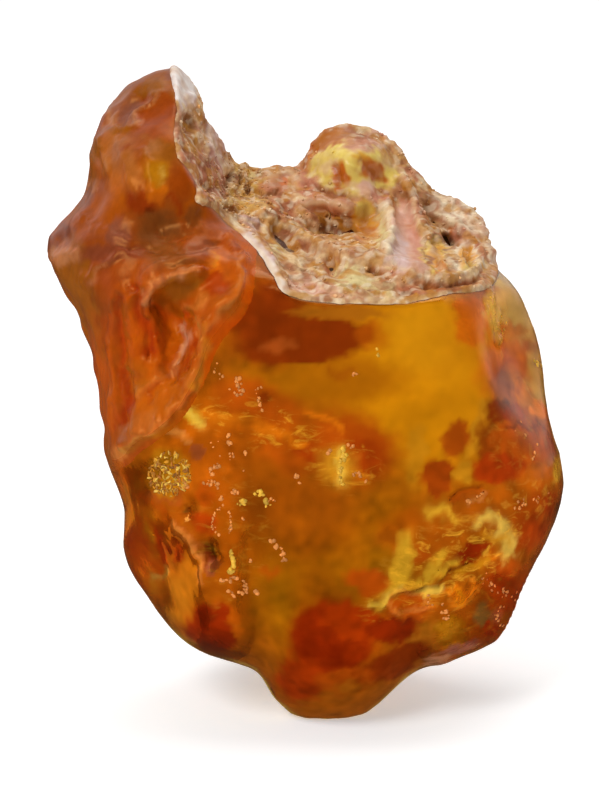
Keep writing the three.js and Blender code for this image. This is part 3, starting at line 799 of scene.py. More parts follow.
BODY_GROOVES = (
    Fold(-0.7, 8, ((158, 306), (172, 318), (180, 338), (176, 360), (170, 376))),
    Fold(-0.4, 3.4, ((188, 314), (194, 334), (190, 356), (179, 378))),
    Fold(-0.45, 6, ((134, 290), (141, 312), (148, 332), (149, 352))),
    Fold(-0.4, 6, ((124, 372), (127, 395), (121, 424))),
    Fold(-0.25, 3.4, ((117, 300), (120, 335), (124, 362))),
    Fold(-0.25, 3, ((160, 381), (154, 390), (151, 398))),
    Fold(-0.5, 8, ((115, 117), (128, 106), (141, 96))),
    Fold(-0.3, 2.6, ((175, 248), (181, 236), (187, 223))),
    Fold(-0.3, 2.6, ((176, 249), (192, 229), (202, 212))),
    Fold(-0.3, 2.6, ((179, 252), (196, 249), (220, 243))),
    Fold(-0.3, 2.6, ((172, 245), (163, 232), (157, 221))),
    Fold(-0.3, 3, ((169, 251), (150, 251), (128, 247))),
    Fold(-0.25, 3, ((186, 267), (196, 265), (206, 264))),
    Fold(-0.1, 7, ((139, 494), (156, 506), (166, 522))),
    Fold(-0.1, 9, ((158, 532), (162, 550), (164, 566))),
    Fold(-0.08, 8, ((176, 540), (179, 556))),
    Fold(-0.4, 6, ((184, 508), (188, 514))),
    Fold(-0.45, 9, ((204, 548), (212, 562))),
    Fold(-0.12, 1.8, ((375, 600), (398, 590), (416, 583), (433, 578), (448, 571), (460, 564))),
    Fold(-0.3, 3, ((450, 500), (466, 494), (486, 489))),
)

# Ridges and grooves of the crust
CRUST_FOLDS = (
    Fold(0.55, 4, ((262, 216), (276, 222), (290, 229), (302, 237), (326, 251), (361, 260), (382, 262),
                   (412, 272), (446, 279), (474, 275))),
    Fold(0.5, 6, ((300, 206), (318, 202), (336, 204), (348, 210))),
    Fold(0.4, 4, ((298, 210), (308, 220), (320, 226))),
    Fold(0.6, 4.4, ((382, 204), (388, 214), (391, 232), (386, 252))),
    Fold(0.5, 3.4, ((418, 222), (425, 238), (436, 256), (444, 274))),
    Fold(0.5, 3.4, ((420, 224), (438, 240), (456, 256), (464, 272))),
    Fold(0.4, 4, ((410, 276), (436, 281), (470, 278))),
    Fold(0.35, 3, ((320, 288), (360, 296), (410, 298), (450, 291))),
    Fold(0.6, 4.4, ((243, 236), (256, 246), (268, 261), (276, 278), (281, 290))),
    Fold(0.3, 3.4, ((284, 292), (300, 299), (332, 304), (386, 304), (421, 301), (456, 294),
                    (489, 287))),
    Fold(0.4, 4, ((187, 97), (196, 115), (205, 137), (207, 159))),
    Fold(0.4, 4, ((209, 130), (215, 146), (222, 162), (232, 174))),
    Fold(0.4, 3.4, ((206, 206), (222, 212), (238, 218), (254, 224))),
    Fold(0.45, 4, ((400, 180), (411, 194), (414, 212), (424, 236))),
    Fold(0.5, 5, ((448, 204), (468, 216), (482, 234), (490, 256))),
    Fold(0.4, 4, ((478, 252), (478, 266), (470, 274))),
    Fold(0.4, 6, ((268, 176), (284, 170), (300, 178))),
    Fold(0.35, 4, ((232, 168), (233, 180), (230, 190))),
    Fold(0.35, 3, ((243, 172), (243, 184), (240, 194))),
)
CRUST_GROOVES = (
    Fold(-0.8, 4.4, ((312, 228), (326, 230), (344, 229), (354, 230))),
    Fold(-0.2, 9, ((365, 208), (366, 230))),
    Fold(-1.1, 5, ((446, 240), (450, 245))),
    Fold(-0.5, 5, ((432, 246), (438, 262))),
    Fold(-0.5, 5, ((466, 250), (468, 264))),
    Fold(-0.6, 6, ((276, 230), (284, 240), (294, 248))),
    Fold(-0.5, 5, ((302, 240), (306, 248))),
    Fold(-0.5, 4, ((328, 258), (331, 272))),
    Fold(-0.4, 2.4, ((304, 271), (312, 275), (320, 279))),
    Fold(-0.5, 3.4, ((370, 269), (378, 273))),
    Fold(-0.5, 3, ((398, 294), (412, 297))),
    Fold(-0.4, 3, ((424, 289), (448, 287), (474, 284))),
    Fold(-0.5, 2.4, ((227, 177), (228, 188))),
    Fold(-0.5, 3, ((237, 177), (238, 182))),
    Fold(-0.5, 3, ((247, 184), (248, 192))),
    Fold(-0.5, 2.4, ((256, 193), (266, 195), (277, 193))),
    Fold(-0.5, 5, ((222, 210), (230, 211), (239, 212))),
    Fold(-0.4, 6, ((400, 186), (406, 194))),
    Fold(-0.5, 5, ((426, 206), (438, 218), (448, 226))),
    Fold(-0.4, 5, ((336, 168), (341, 184))),
    Fold(-0.35, 8, ((362, 162), (378, 176))),
    Fold(-0.4, 4, ((318, 190), (330, 194), (344, 196))),
    Fold(-0.5, 4, ((185, 117), (190, 130))),
    Fold(-0.4, 4, ((201, 183), (212, 190))),
)

# Where the crust is smooth and glossy rather than granular
GLAZE = (
    Oval((354, 168), (44, 26), 10), Oval((332, 140), (20, 9), -18),
    Oval((366, 220), (13, 20)), Oval((386, 230), (9, 24)),
    Oval((406, 238), (16, 34), -14), Oval((435, 256), (8, 15), -24),
    Oval((467, 258), (9, 13), -10), Oval((322, 204), (26, 9)),
    Oval((284, 180), (20, 12), 0, 0.6), Oval((181, 86), (16, 22), -10, 0.8),
    Line(7, ((243, 236), (256, 246), (268, 261), (276, 278), (281, 290))),
    Line(7, ((209, 130), (215, 146), (221, 160), (230, 172))),
)


@dataclass(frozen=True)
class Sprinkle:
    """Bright grains scattered along a path of the photograph's pixels."""

    count: int
    size: float  # mm
    spread: float  # pixels
    path: tuple[Pixel, ...]
    tone: Tone = Tone.APRICOT


# Flecks in the skin of the clear resin
FLECKS = (
    Sprinkle(12, 0.32, 5, ((236, 380), (240, 388), (238, 396))),
    Sprinkle(8, 0.26, 3, ((257, 388), (259, 398), (260, 408))),
    Sprinkle(4, 0.24, 4, ((214, 368), (220, 376))),
    Sprinkle(5, 0.34, 2, ((228, 434), (229, 443))),
    Sprinkle(8, 0.2, 9, ((210, 440), (226, 452), (236, 462))),
    Sprinkle(2, 0.3, 1, ((245, 453), (246, 454))),
    Sprinkle(10, 0.32, 3, ((211, 473), (215, 466), (222, 465))),
    Sprinkle(9, 0.3, 4, ((206, 484), (214, 483), (220, 492))),
    Sprinkle(3, 0.4, 1.5, ((221, 497), (222, 501))),
    Sprinkle(4, 0.36, 2, ((185, 484), (186, 488))),
    Sprinkle(5, 0.34, 2.5, ((232, 490), (235, 493))),
    Sprinkle(9, 0.38, 3, ((238, 502), (244, 503), (249, 503)), Tone.YELLOW),
    Sprinkle(9, 0.46, 4, ((260, 492), (264, 499), (268, 508)), Tone.YELLOW),
    Sprinkle(4, 0.26, 3, ((270, 500), (274, 502))),
    Sprinkle(4, 0.34, 2, ((297, 476), (299, 482))),
    Sprinkle(14, 0.28, 1.6, ((222, 506), (213, 515), (213, 527), (220, 536))),
    Sprinkle(10, 0.26, 1.4, ((229, 511), (231, 524), (229, 534))),
    Sprinkle(2, 0.24, 1, ((242, 518), (243, 519))),
    Sprinkle(16, 0.42, 2.6, ((231, 553), (233, 563), (231, 575)), Tone.YELLOW),
    Sprinkle(10, 0.34, 2.4, ((216, 579), (226, 581), (236, 578))),
    Sprinkle(12, 0.34, 2.2, ((243, 582), (247, 589), (236, 595), (230, 590))),
    Sprinkle(4, 0.38, 1.6, ((255, 591), (257, 595))),
    Sprinkle(3, 0.3, 1.4, ((250, 559), (251, 562))),
    Sprinkle(12, 0.36, 2.6, ((272, 543), (282, 551), (285, 560))),
    Sprinkle(8, 0.4, 2, ((342, 450), (344, 458)), Tone.YELLOW),
    Sprinkle(9, 0.34, 2, ((340, 462), (341, 482)), Tone.YELLOW),
    Sprinkle(3, 0.36, 1.6, ((328, 450), (331, 452))),
    Sprinkle(3, 0.3, 2, ((349, 445), (352, 447))),
    Sprinkle(6, 0.3, 4, ((356, 474), (366, 478))),
    Sprinkle(5, 0.24, 1.5, ((376, 349), (378, 356)), Tone.YELLOW),
    Sprinkle(3, 0.24, 2, ((354, 373), (357, 375))),
    Sprinkle(8, 0.26, 5, ((494, 300), (497, 322), (500, 334)), Tone.YELLOW),
    Sprinkle(5, 0.34, 3, ((536, 362), (541, 365)), Tone.YELLOW),
    Sprinkle(5, 0.3, 5, ((520, 426), (536, 444), (534, 458))),
    Sprinkle(6, 0.28, 3, ((466, 500), (478, 497), (487, 490))),
    Sprinkle(16, 0.28, 6, ((486, 580), (500, 590), (516, 596))),
    Sprinkle(10, 0.26, 5, ((520, 505), (536, 500), (548, 490))),
    Sprinkle(12, 0.3, 5, ((428, 600), (446, 610), (446, 618))),
    Sprinkle(8, 0.28, 4, ((500, 606), (496, 618), (505, 626))),
)


# Painted glints: light that cracks in the resin reflect, laid as soft bright streaks over the other
# colours
PAINTED_CRACK_GLINTS: tuple[Mark, ...] = (
    Tone.YELLOW.line(5, 0.9, (428, 511), (438, 508), (446, 513), (453, 519)),
    Tone.STRAW.line(5, 1.0, (480, 521), (491, 515), (501, 520), (503, 529), (496, 537)),
    Tone.STRAW.oval(508, 547, 9, 15, 20, 1.0),
    Tone.GOLD.line(5, 0.8, (489, 537), (499, 542), (508, 540)),
    Tone.ORANGE.line(4, 0.9, (476, 561), (488, 560), (499, 556)),
    Tone.YELLOW.line(3.6, 0.95, (416, 583), (430, 575), (443, 569), (456, 563)),
    Tone.YELLOW.line(3.6, 0.9, (430, 572), (437, 560), (443, 551)),
    Tone.GOLD.line(3, 0.9, (458, 574), (472, 566), (488, 560)),
    Tone.STRAW.oval(430, 590, 13, 7, -16, 0.9),
    Tone.YELLOW.line(6, 0.8, (407, 540), (404, 560), (399, 578), (392, 592)),
    Tone.STRAW.line(3, 0.9, (370, 606), (384, 600), (402, 589)),
    Tone.ORANGE.line(3, 0.95, (446, 588), (453, 600), (459, 604)),
    Tone.ORANGE.line(3, 0.95, (473, 581), (468, 592), (460, 603)),
    Tone.FLAME.line(3.4, 0.8, (456, 586), (459, 592), (459, 600)),
    Tone.APRICOT.line(2.4, 0.5, (388, 604), (400, 593), (420, 596), (428, 607), (405, 613),
                      (390, 606)),
    Tone.GOLD.oval(464, 478, 8, 6, 20, 0.9),
    Tone.STRAW.line(4.5, 0.9, (185, 408), (193, 413), (203, 424)),
    Tone.YELLOW.oval(338, 466, 16, 17, 0, 0.6, 0.8),
    Tone.STRAW.line(3, 0.9, (341, 452), (339, 466), (341, 482)),
    Tone.ORANGE.line(4, 0.8, (222, 417), (246, 421), (268, 429), (288, 436)),
    Tone.ORANGE.line(3, 0.8, (308, 412), (322, 417), (338, 430)),
)

# Where fine cracks catch the light: there a painted glint is added to the resin's colour, and the
# cracks get relief
CRACKLE = (
    Oval((345, 466), (34, 24), 10, 0.6), Oval((255, 425), (60, 22), 12, 0.7),
    Oval((455, 565), (64, 42), -24, 1.0), Oval((498, 527), (22, 24), 0, 1.0),
    Oval((172, 530), (40, 50), 0, 0.15), Oval((232, 540), (34, 70), 0, 0.3),
    Oval((497, 320), (12, 34), -6, 0.6), Oval((520, 440), (30, 34), 0, 0.12),
    Oval((470, 620), (40, 24), -20, 0.8), Oval((400, 600), (36, 16), -16, 0.8),
    Oval((530, 500), (24, 20), 0, 0.35), Oval((196, 412), (18, 12), 30, 0.9),
)

# Where the stone bends the view aside, and less light arrives; the resin's tint is painted lighter
# there to make up for it
DIM_PLACES = (
    Oval((190, 545), (66, 108), 0, 0.42), Oval((142, 552), (30, 66), -14, 0.64),
    Oval((468, 616), (56, 36), -20, 0.46), Oval((528, 565), (40, 46), 20, 0.24),
)

# The part of the window that is clear right through
CLEAR_WINDOW = Oval((400, 370), (112, 84), 0, soft=0.4)

# The part of the back that is seen through the window
BEHIND_WINDOW = Oval((370, 430), (190, 190), 0, soft=0.3)


def choose(*things: bpy.types.Object) -> None:
    """Select objects alone, and make the first one active.

    Args:
        things: The objects.
    """
    bpy.ops.object.select_all(action="DESELECT")
    for thing in things:
        thing.select_set(True)
    bpy.context.view_layer.objects.active = things[0] if things else None


def copy_of(thing: bpy.types.Object, name: str) -> bpy.types.Object:
    """Copy an object with its own mesh, and put the copy at the origin.

    Args:
        thing: The object.
        name: The copy's name.

    Returns:
        The copy.
    """
    copy = thing.copy()
    copy.data = thing.data.copy()
    copy.name = copy.data.name = name
    copy.parent = None
    copy.matrix_world.identity()
    bpy.context.scene.collection.objects.link(copy)
    return copy


def apply(thing: bpy.types.Object, kind: str, **settings: object) -> None:
    """Put a modifier on an object and apply it.

    Args:
        thing: The object.
        kind: The modifier's type.
        settings: Its properties.
    """
    choose(thing)
    change = thing.modifiers.new(kind.lower(), kind)
    for name, value in settings.items():
        setattr(change, name, value)
    bpy.ops.object.modifier_apply(modifier=change.name)


def vectors_of(thing: bpy.types.Object, what: str = "co") -> np.ndarray:
    """Read one vector for each vertex of a mesh.

    Args:
        thing: The mesh object.
        what: What is read: co for its place or normal for its normal.

    Returns:
        The vectors.
    """
    values = np.empty(len(thing.data.vertices) * 3)
    thing.data.vertices.foreach_get(what, values)
    return values.reshape(-1, 3)


def move_to(thing: bpy.types.Object, places: np.ndarray) -> None:
    """Move a mesh's vertices to new places."""
    thing.data.vertices.foreach_set("co", places.ravel())
    thing.data.update()


def press(thing: bpy.types.Object, heights: np.ndarray) -> None:
    """Push a mesh's surface out along its normals, or in where a height is below 0.

    Args:
        thing: The mesh object.
        heights: How far each vertex moves, in mm.
    """
    for sign in (1, -1):
        part = np.clip(sign * heights, 0, None)
        most = part.max()
        if most < 1e-5:
            continue
        group = thing.vertex_groups.new(name="press")
        for index in np.flatnonzero(part > 1e-4):
            group.add([int(index)], float(part[index] / most), "REPLACE")
        apply(thing, "DISPLACE", vertex_group="press", strength=float(sign * most * MM), mid_level=0.0)
        thing.vertex_groups.remove(thing.vertex_groups["press"])


def soften(thing: bpy.types.Object, where: np.ndarray, rounds: int) -> None:
    """Smooth part of a mesh.

    Args:
        thing: The mesh object.
        where: True for each vertex of the part.
        rounds: How often it is smoothed.
    """
    group = thing.vertex_groups.new(name="part")
    for index in np.flatnonzero(where):
        group.add([int(index)], 1.0, "REPLACE")
    apply(thing, "SMOOTH", factor=0.5, iterations=rounds, vertex_group="part")
    thing.vertex_groups.clear()


def rise_of(folds: tuple[Fold, ...], pixels: np.ndarray) -> np.ndarray:
    """Measure how far folds move the surface, where the strongest one counts.

    Args:
        folds: The folds.
        pixels: The pixels to measure at.

    Returns:
        The rise at each pixel, in mm.
    """
    rise = np.zeros(len(pixels))
    for fold in folds:
        here = fold.rise(pixels)
        rise = np.where(np.abs(here) > np.abs(rise), here, rise)
    return rise


def facing(thing: bpy.types.Object) -> np.ndarray:
    """Measure how far each vertex faces the photograph's camera.

    Args:
        thing: The mesh object.

    Returns:
        A share for each, 1 in front and 0 behind.
    """
    towards = np.array(VIEW.eye()) - vectors_of(thing)
    towards /= np.linalg.norm(towards, axis=1)[:, None]
    turned = (vectors_of(thing, "normal") * towards).sum(axis=1)
    return smoothstep(*TURNS_FROM_SIGHT, turned + SIGHT_WAVES.at(vectors_of(thing)))


def ragged_pixels(places: np.ndarray) -> np.ndarray:
    """Move pixels a little by noise, so that marks get ragged edges.

    Args:
        places: Places in the room, in metres.

    Returns:
        The moved pixel of each.
    """
    shift = [wide.at(places) + fine.at(places) for wide, fine in RAGS]
    return VIEW.to_pixels(places) + np.stack(shift, axis=1)


def lay(under: np.ndarray, tone: Tone, cover: np.ndarray) -> np.ndarray:
    """Lay a tone over linear colours.

    Args:
        under: The colours below it.
        tone: The tone.
        cover: How much of it lies at each place, from 0 to 1.

    Returns:
        The new colours.
    """
    share = np.clip(cover, 0, 1)[:, None]
    return under * (1 - share) + linear(tone.value) * share


def write_colours(thing: bpy.types.Object, name: str, colours: np.ndarray) -> None:
    """Store a linear colour on each vertex of a mesh."""
    layer = thing.data.color_attributes.new(name, "FLOAT_COLOR", "POINT")
    layer.data.foreach_set("color", np.c_[colours, np.ones(len(colours))].ravel())


def write_values(thing: bpy.types.Object, name: str, values: np.ndarray) -> None:
    """Store a number on each vertex of a mesh."""
    layer = thing.data.attributes.new(name, "FLOAT", "POINT")
    layer.data.foreach_set("value", np.asarray(values, dtype=float))


def crust_side(places: np.ndarray) -> np.ndarray:
    """Measure how far places lie inside the crusted top.

    Args:
        places: Places in the room, in metres.

    Returns:
        The distance of each in mm, below 0 outside it.
    """
    across, up, depth = VIEW.to_stone(places).T
    line = smooth_line(CRUST_EDGE)
    distance, side = path_distance(line, np.stack([across, up], axis=1))
    wavy = sum(noise.at(places) for noise in CRUST_WAVES)
    widest = CRUST_TOP_DEPTH * smoothstep(*CRUST_TOP_UP, up) * smoothstep(*CRUST_TOP_ACROSS, across)
    return np.minimum(distance * side + CRUST_EDGE_WAVE * wavy, widest + CRUST_DEPTH + wavy - depth)


def wax_side(places: np.ndarray) -> np.ndarray:
    """Measure how far places lie inside the waxy flank.

    Args:
        places: Places in the room, in metres.

    Returns:
        The distance of each in mm, below 0 outside it.
    """
    line = smooth_line(WAX_EDGE)
    distance, side = path_distance(line, VIEW.to_pixels(places))
    wavy = sum(noise.at(places) for noise in WAX_WAVES)
    _, up, depth = VIEW.to_stone(places).T
    tongues = sum(noise.at(places) for noise in WAX_TONGUES)
    deepest = WAX_DEPTH + WAX_FIN_DEPTH * smoothstep(*WAX_FIN_UP, up + tongues)
    hidden = smoothstep(*WAX_TONGUE_DEPTHS, depth)
    return np.minimum(distance * side / VIEW.pixels_per_mm + hidden * tongues, deepest + wavy - depth)


def select_faces(thing: bpy.types.Object, chosen: np.ndarray) -> None:
    """Select some faces of a mesh and nothing else, and go to edit mode.

    Args:
        thing: The mesh object.
        chosen: True for each face that is wanted.
    """
    choose(thing)
    thing.data.vertices.foreach_set("select", [False] * len(thing.data.vertices))
    thing.data.edges.foreach_set("select", [False] * len(thing.data.edges))
    thing.data.polygons.foreach_set("select", chosen)
    bpy.context.tool_settings.mesh_select_mode = (False, False, True)
    bpy.ops.object.mode_set(mode="EDIT")


EDGE_BAND = 0.8  # how far from an area's edge faces are split, mm


def straighten_edge(thing: bpy.types.Object, inside: np.ndarray) -> np.ndarray:
    """Split the faces along an area's edge and move the nearest vertices onto it.

    Args:
        thing: The mesh object.
        inside: How far inside the area each vertex lies, and below 0 outside it.

    Returns:
        The same, with 0 on the vertices that were moved.
    """
    near_edge = (np.abs(inside) < EDGE_BAND).astype(float)
    select_faces(thing, corner_sums(thing, near_edge) > 0)
    bpy.ops.mesh.quads_convert_to_tris(quad_method="SHORTEST_DIAGONAL")
    bpy.ops.object.mode_set(mode="OBJECT")
    places = vectors_of(thing)
    ends = np.empty(len(thing.data.edges) * 2, dtype=np.int64)
    thing.data.edges.foreach_get("vertices", ends)
    total = np.zeros_like(places)
    count = np.zeros(len(places))
    for a, b in (ends.reshape(-1, 2).T, ends.reshape(-1, 2).T[::-1]):
        crossing = (inside[a] * inside[b] < 0) & (np.abs(inside[a]) <= np.abs(inside[b]))
        near, far = a[crossing], b[crossing]
        share = np.abs(inside[near]) / (np.abs(inside[near]) + np.abs(inside[far]))
        np.add.at(total, near, places[near] + (places[far] - places[near]) * share[:, None])
        np.add.at(count, near, 1)
    moved = count > 0
    places[moved] = total[moved] / count[moved][:, None]
    move_to(thing, places)
    return np.where(moved, 0.0, inside)


def corner_sums(thing: bpy.types.Object, values: np.ndarray) -> np.ndarray:
    """Add up the vertices' values over each face of a mesh.

    Args:
        thing: The mesh object.
        values: A value for each vertex.

    Returns:
        The sum for each face.
    """
    corners = np.empty(len(thing.data.loops), dtype=np.int64)
    thing.data.loops.foreach_get("vertex_index", corners)
    starts = np.empty(len(thing.data.polygons), dtype=np.int64)
    thing.data.polygons.foreach_get("loop_start", starts)
    return np.add.reduceat(values[corners], starts)


class Shading:
    """A node tree, with short calls that add nodes and join them."""

    def __init__(self, tree: bpy.types.NodeTree) -> None:
        """Hold the tree."""
        self.tree = tree

    @classmethod
    def material(cls, name: str) -> tuple[bpy.types.Material, "Shading", bpy.types.Node]:
        """Start a material.

        Args:
            name: Its name.

        Returns:
            The material, its shading and its Principled shader.
        """
        material = bpy.data.materials.new(name)
        material.use_nodes = True
        return material, cls(material.node_tree), material.node_tree.nodes["Principled BSDF"]

    @classmethod
    def group(cls, name: str, inputs: dict[str, tuple[str, object]], outputs: dict[str, str]) -> tuple:
        """Start a node group.

        Args:
            name: The group's name.
            inputs: For each input, its kind of socket and its usual value.
            outputs: For each output, its kind of socket.

        Returns:
            The group's shading, its input node and its output node.
        """
        tree = bpy.data.node_groups.new(name, "ShaderNodeTree")
        for label, (kind, usual) in inputs.items():
            socket = tree.interface.new_socket(label, in_out="INPUT", socket_type="NodeSocket" + kind)
            socket.default_value = usual
        for label, kind in outputs.items():
            tree.interface.new_socket(label, in_out="OUTPUT", socket_type="NodeSocket" + kind)
        return cls(tree), tree.nodes.new("NodeGroupInput"), tree.nodes.new("NodeGroupOutput")

    def add(self, kind: str, values: dict | None = None, **settings: object) -> bpy.types.Node:
        """Add a node.

        Args:
            kind: The node's type, without ShaderNode.
            values: Values or sockets for its inputs, by name or number.
            settings: The node's properties.

        Returns:
            The node.
        """
        node = self.tree.nodes.new("ShaderNode" + kind)
        for name, value in settings.items():
            setattr(node, name, value)
        for name, value in (values or {}).items():
            self.put(node.inputs[name], value)
        return node

    def put(self, socket: bpy.types.NodeSocket, value: object) -> None:
        """Join another node's socket to an input, or set the input's own value.

        Args:
            socket: The input.
            value: The other node's output, or the value.
        """
        if isinstance(value, bpy.types.NodeSocket):
            self.tree.links.new(value, socket)
        else:
            socket.default_value = value

    def math(self, operation: str, first: object, second: object = 0.0) -> bpy.types.NodeSocket:
        """Work out a number from two, and return its socket."""
        return self.add("Math", {0: first, 1: second}, operation=operation).outputs[0]

    def mix(self, kind: str, share: object, first: object, second: object) -> bpy.types.NodeSocket:
        """Blend two colours.

        Args:
            kind: The way of blending.
            share: How much of the second goes in.
            first: A colour or socket.
            second: A colour or socket.

        Returns:
            The result's socket.
        """
        node = self.add("Mix", {0: share, 6: first, 7: second}, data_type="RGBA", blend_type=kind)
        return node.outputs[2]

    def ramp(self, value: object, low: float, high: float) -> bpy.types.NodeSocket:
        """Rise smoothly from 0 to 1.

        Args:
            value: A number or socket.
            low: The value that gives 0.
            high: The value that gives 1.

        Returns:
            The result's socket.
        """
        node = self.add("MapRange", {"Value": value, "From Min": low, "From Max": high},
                        interpolation_type="SMOOTHSTEP")
        return node.outputs["Result"]

    def attribute(self, name: str, output: str = "Fac") -> bpy.types.NodeSocket:
        """Read a value or colour stored on the mesh, and return its socket."""
        return self.add("Attribute", attribute_name=name).outputs[output]

    def worn(self, paint: str, size: float, depth: object,
             stretch: float = 1.0) -> bpy.types.NodeSocket:
        """Break up a colour that is stored on the mesh, with the weathering group.

        Args:
            paint: The stored colour's name.
            size: The size of the blotches, in mm.
            depth: How dark they are, as a number or socket.
            stretch: How much longer they are along the stone's height.

        Returns:
            The broken colour's socket.
        """
        colour = self.attribute(paint, "Color")
        return self.add("Group", {"Colour": colour, "Size": size, "Depth": depth, "Stretch": stretch},
                        node_tree=bpy.data.node_groups["weathering"]).outputs["Colour"]


# The weathering's broad blotches and fine specks: the noise's scale, where it fades, and the shade
BLOTCH_SCALE, BLOTCH_FADE, BLOTCH_SHADE = 0.35, (0.36, 0.62), (0.5, 0.34, 0.2, 1)
SPECK_SCALE, SPECK_FADE, SPECK_SHADE = 2.2, (0.34, 0.66), (0.62, 0.5, 0.4, 1)


def make_weathering() -> None:
    """Build the group that breaks up a painted colour with darker blotches and fine specks.

    Colour, Size in mm, Stretch along the stone's height and Depth go in. The broken colour comes out.
    """
    shade, given, result = Shading.group(
        "weathering",
        {"Colour": ("Color", (0.8, 0.8, 0.8, 1)), "Size": ("Float", 1.0), "Stretch": ("Float", 1.0),
         "Depth": ("Float", 0.3)},
        {"Colour": "Color"})
    place = shade.add("Mapping", {"Vector": shade.add("TexCoord").outputs["Object"],
                                  "Rotation": (-VIEW.lean, 0.0, 0.0)})
    apart = shade.add("SeparateXYZ", {0: place.outputs[0]})
    along = shade.math("DIVIDE", apart.outputs["Z"], given.outputs["Stretch"])
    joined = shade.add("CombineXYZ", {0: apart.outputs["X"], 1: apart.outputs["Y"], 2: along})
    scaled = shade.add("VectorMath", {0: joined.outputs[0]}, operation="SCALE")
    shade.put(scaled.inputs["Scale"], shade.math("DIVIDE", 1 / MM, given.outputs["Size"]))
    broad = shade.add("TexNoise", {"Vector": scaled.outputs[0], "Scale": BLOTCH_SCALE, "Detail": 5.0,
                                   "Roughness": 0.6, "Distortion": 0.3})
    fine = shade.add("TexNoise", {"Vector": scaled.outputs[0], "Scale": SPECK_SCALE, "Detail": 4.0})
    specks = shade.math("SUBTRACT", 1.0, shade.ramp(fine.outputs["Fac"], *SPECK_FADE))
    blotches = shade.math("SUBTRACT", 1.0, shade.ramp(broad.outputs["Fac"], *BLOTCH_FADE))
    darker = shade.mix("MULTIPLY", shade.math("MULTIPLY", blotches, given.outputs["Depth"]),
                       given.outputs["Colour"], BLOTCH_SHADE)
    dark_specks = shade.math("MULTIPLY", specks, given.outputs["Depth"])
    shade.put(result.inputs["Colour"], shade.mix("MULTIPLY", dark_specks, darker, SPECK_SHADE))


@dataclass(frozen=True)
class Resin:
    """Fossil resin: tinted glass that swallows blue light first, and then green."""

    name: str = "clear_amber"
    paint: str = "resin_colour"
    ior: float = 1.54
    clearness: float = 1.0
    gloss: Colour = (1.0, 0.5, 0.1)
    shine: float = 0.5
    swallow: Colour = (0.99, 0.86, 0.0)
    swallow_per_metre: float = 65.0
    blotches: float = 0.06
    blotch_size: float = 2.0  # mm
    stretch: float = 1.0
    ripple: float = 0.12  # mm
    ripples_per_mm: float = 0.45
    # the colour of the painted glints on fine cracks
    crack_light: Colour = (0.5, 0.19, 0.015)
    crack_fade: tuple[float, float] = (0.5, 0.78)
    crack_tilt: float = 28.0  # degrees
    crack_squash: tuple[float, float, float] = (0.55, 1.0, 1.3)
    crack_relief: float = 0.3  # as a share of the ripples'

    def make(self) -> bpy.types.Material:
        """Build the material.

        Returns:
            The material.
        """
        material, shade, skin = Shading.material(self.name)
        worn = shade.worn(self.paint, self.blotch_size, self.blotches, self.stretch)
        place = shade.add("TexCoord").outputs["Object"]
        tilted = shade.add("Mapping", {"Vector": place, "Scale": self.crack_squash,
                                       "Rotation": (0.0, math.radians(self.crack_tilt), 0.0)})
        cracks = shade.add("TexNoise", {"Vector": tilted.outputs[0], "Scale": 1.0 / MM, "Detail": 5.0,
                                        "Roughness": 0.62, "Distortion": 0.9})
        # painted glints: crack_light is added to the colour where the crackle mask and the crack noise
        # are high
        crackle = shade.attribute("crackle")
        lit = shade.math("MULTIPLY", crackle, shade.ramp(cracks.outputs["Fac"], *self.crack_fade))
        shade.put(skin.inputs["Base Color"], shade.mix("ADD", lit, worn, (*self.crack_light, 1)))
        shade.put(skin.inputs["Roughness"], shade.attribute("roughness"))
        waves = shade.add("TexNoise", {"Vector": place, "Scale": self.ripples_per_mm / MM,
                                       "Detail": 3.0})
        cracked = shade.math("MULTIPLY", shade.math("MULTIPLY", crackle, self.crack_relief),
                             cracks.outputs["Fac"])
        height = shade.math("ADD", waves.outputs["Fac"], cracked)
        bump = shade.add("Bump", {"Height": height, "Strength": 0.5, "Distance": self.ripple * MM})
        shade.put(skin.inputs["Normal"], bump.outputs["Normal"])
        skin.inputs["IOR"].default_value = self.ior
        skin.inputs["Transmission Weight"].default_value = self.clearness
        skin.inputs["Specular Tint"].default_value = (*self.gloss, 1)
        skin.inputs["Specular IOR Level"].default_value = self.shine
        depth = shade.add("VolumeAbsorption", {"Color": (*self.swallow, 1),
                                               "Density": self.swallow_per_metre})
        shade.put(material.node_tree.nodes["Material Output"].inputs["Volume"], depth.outputs[0])
        return material


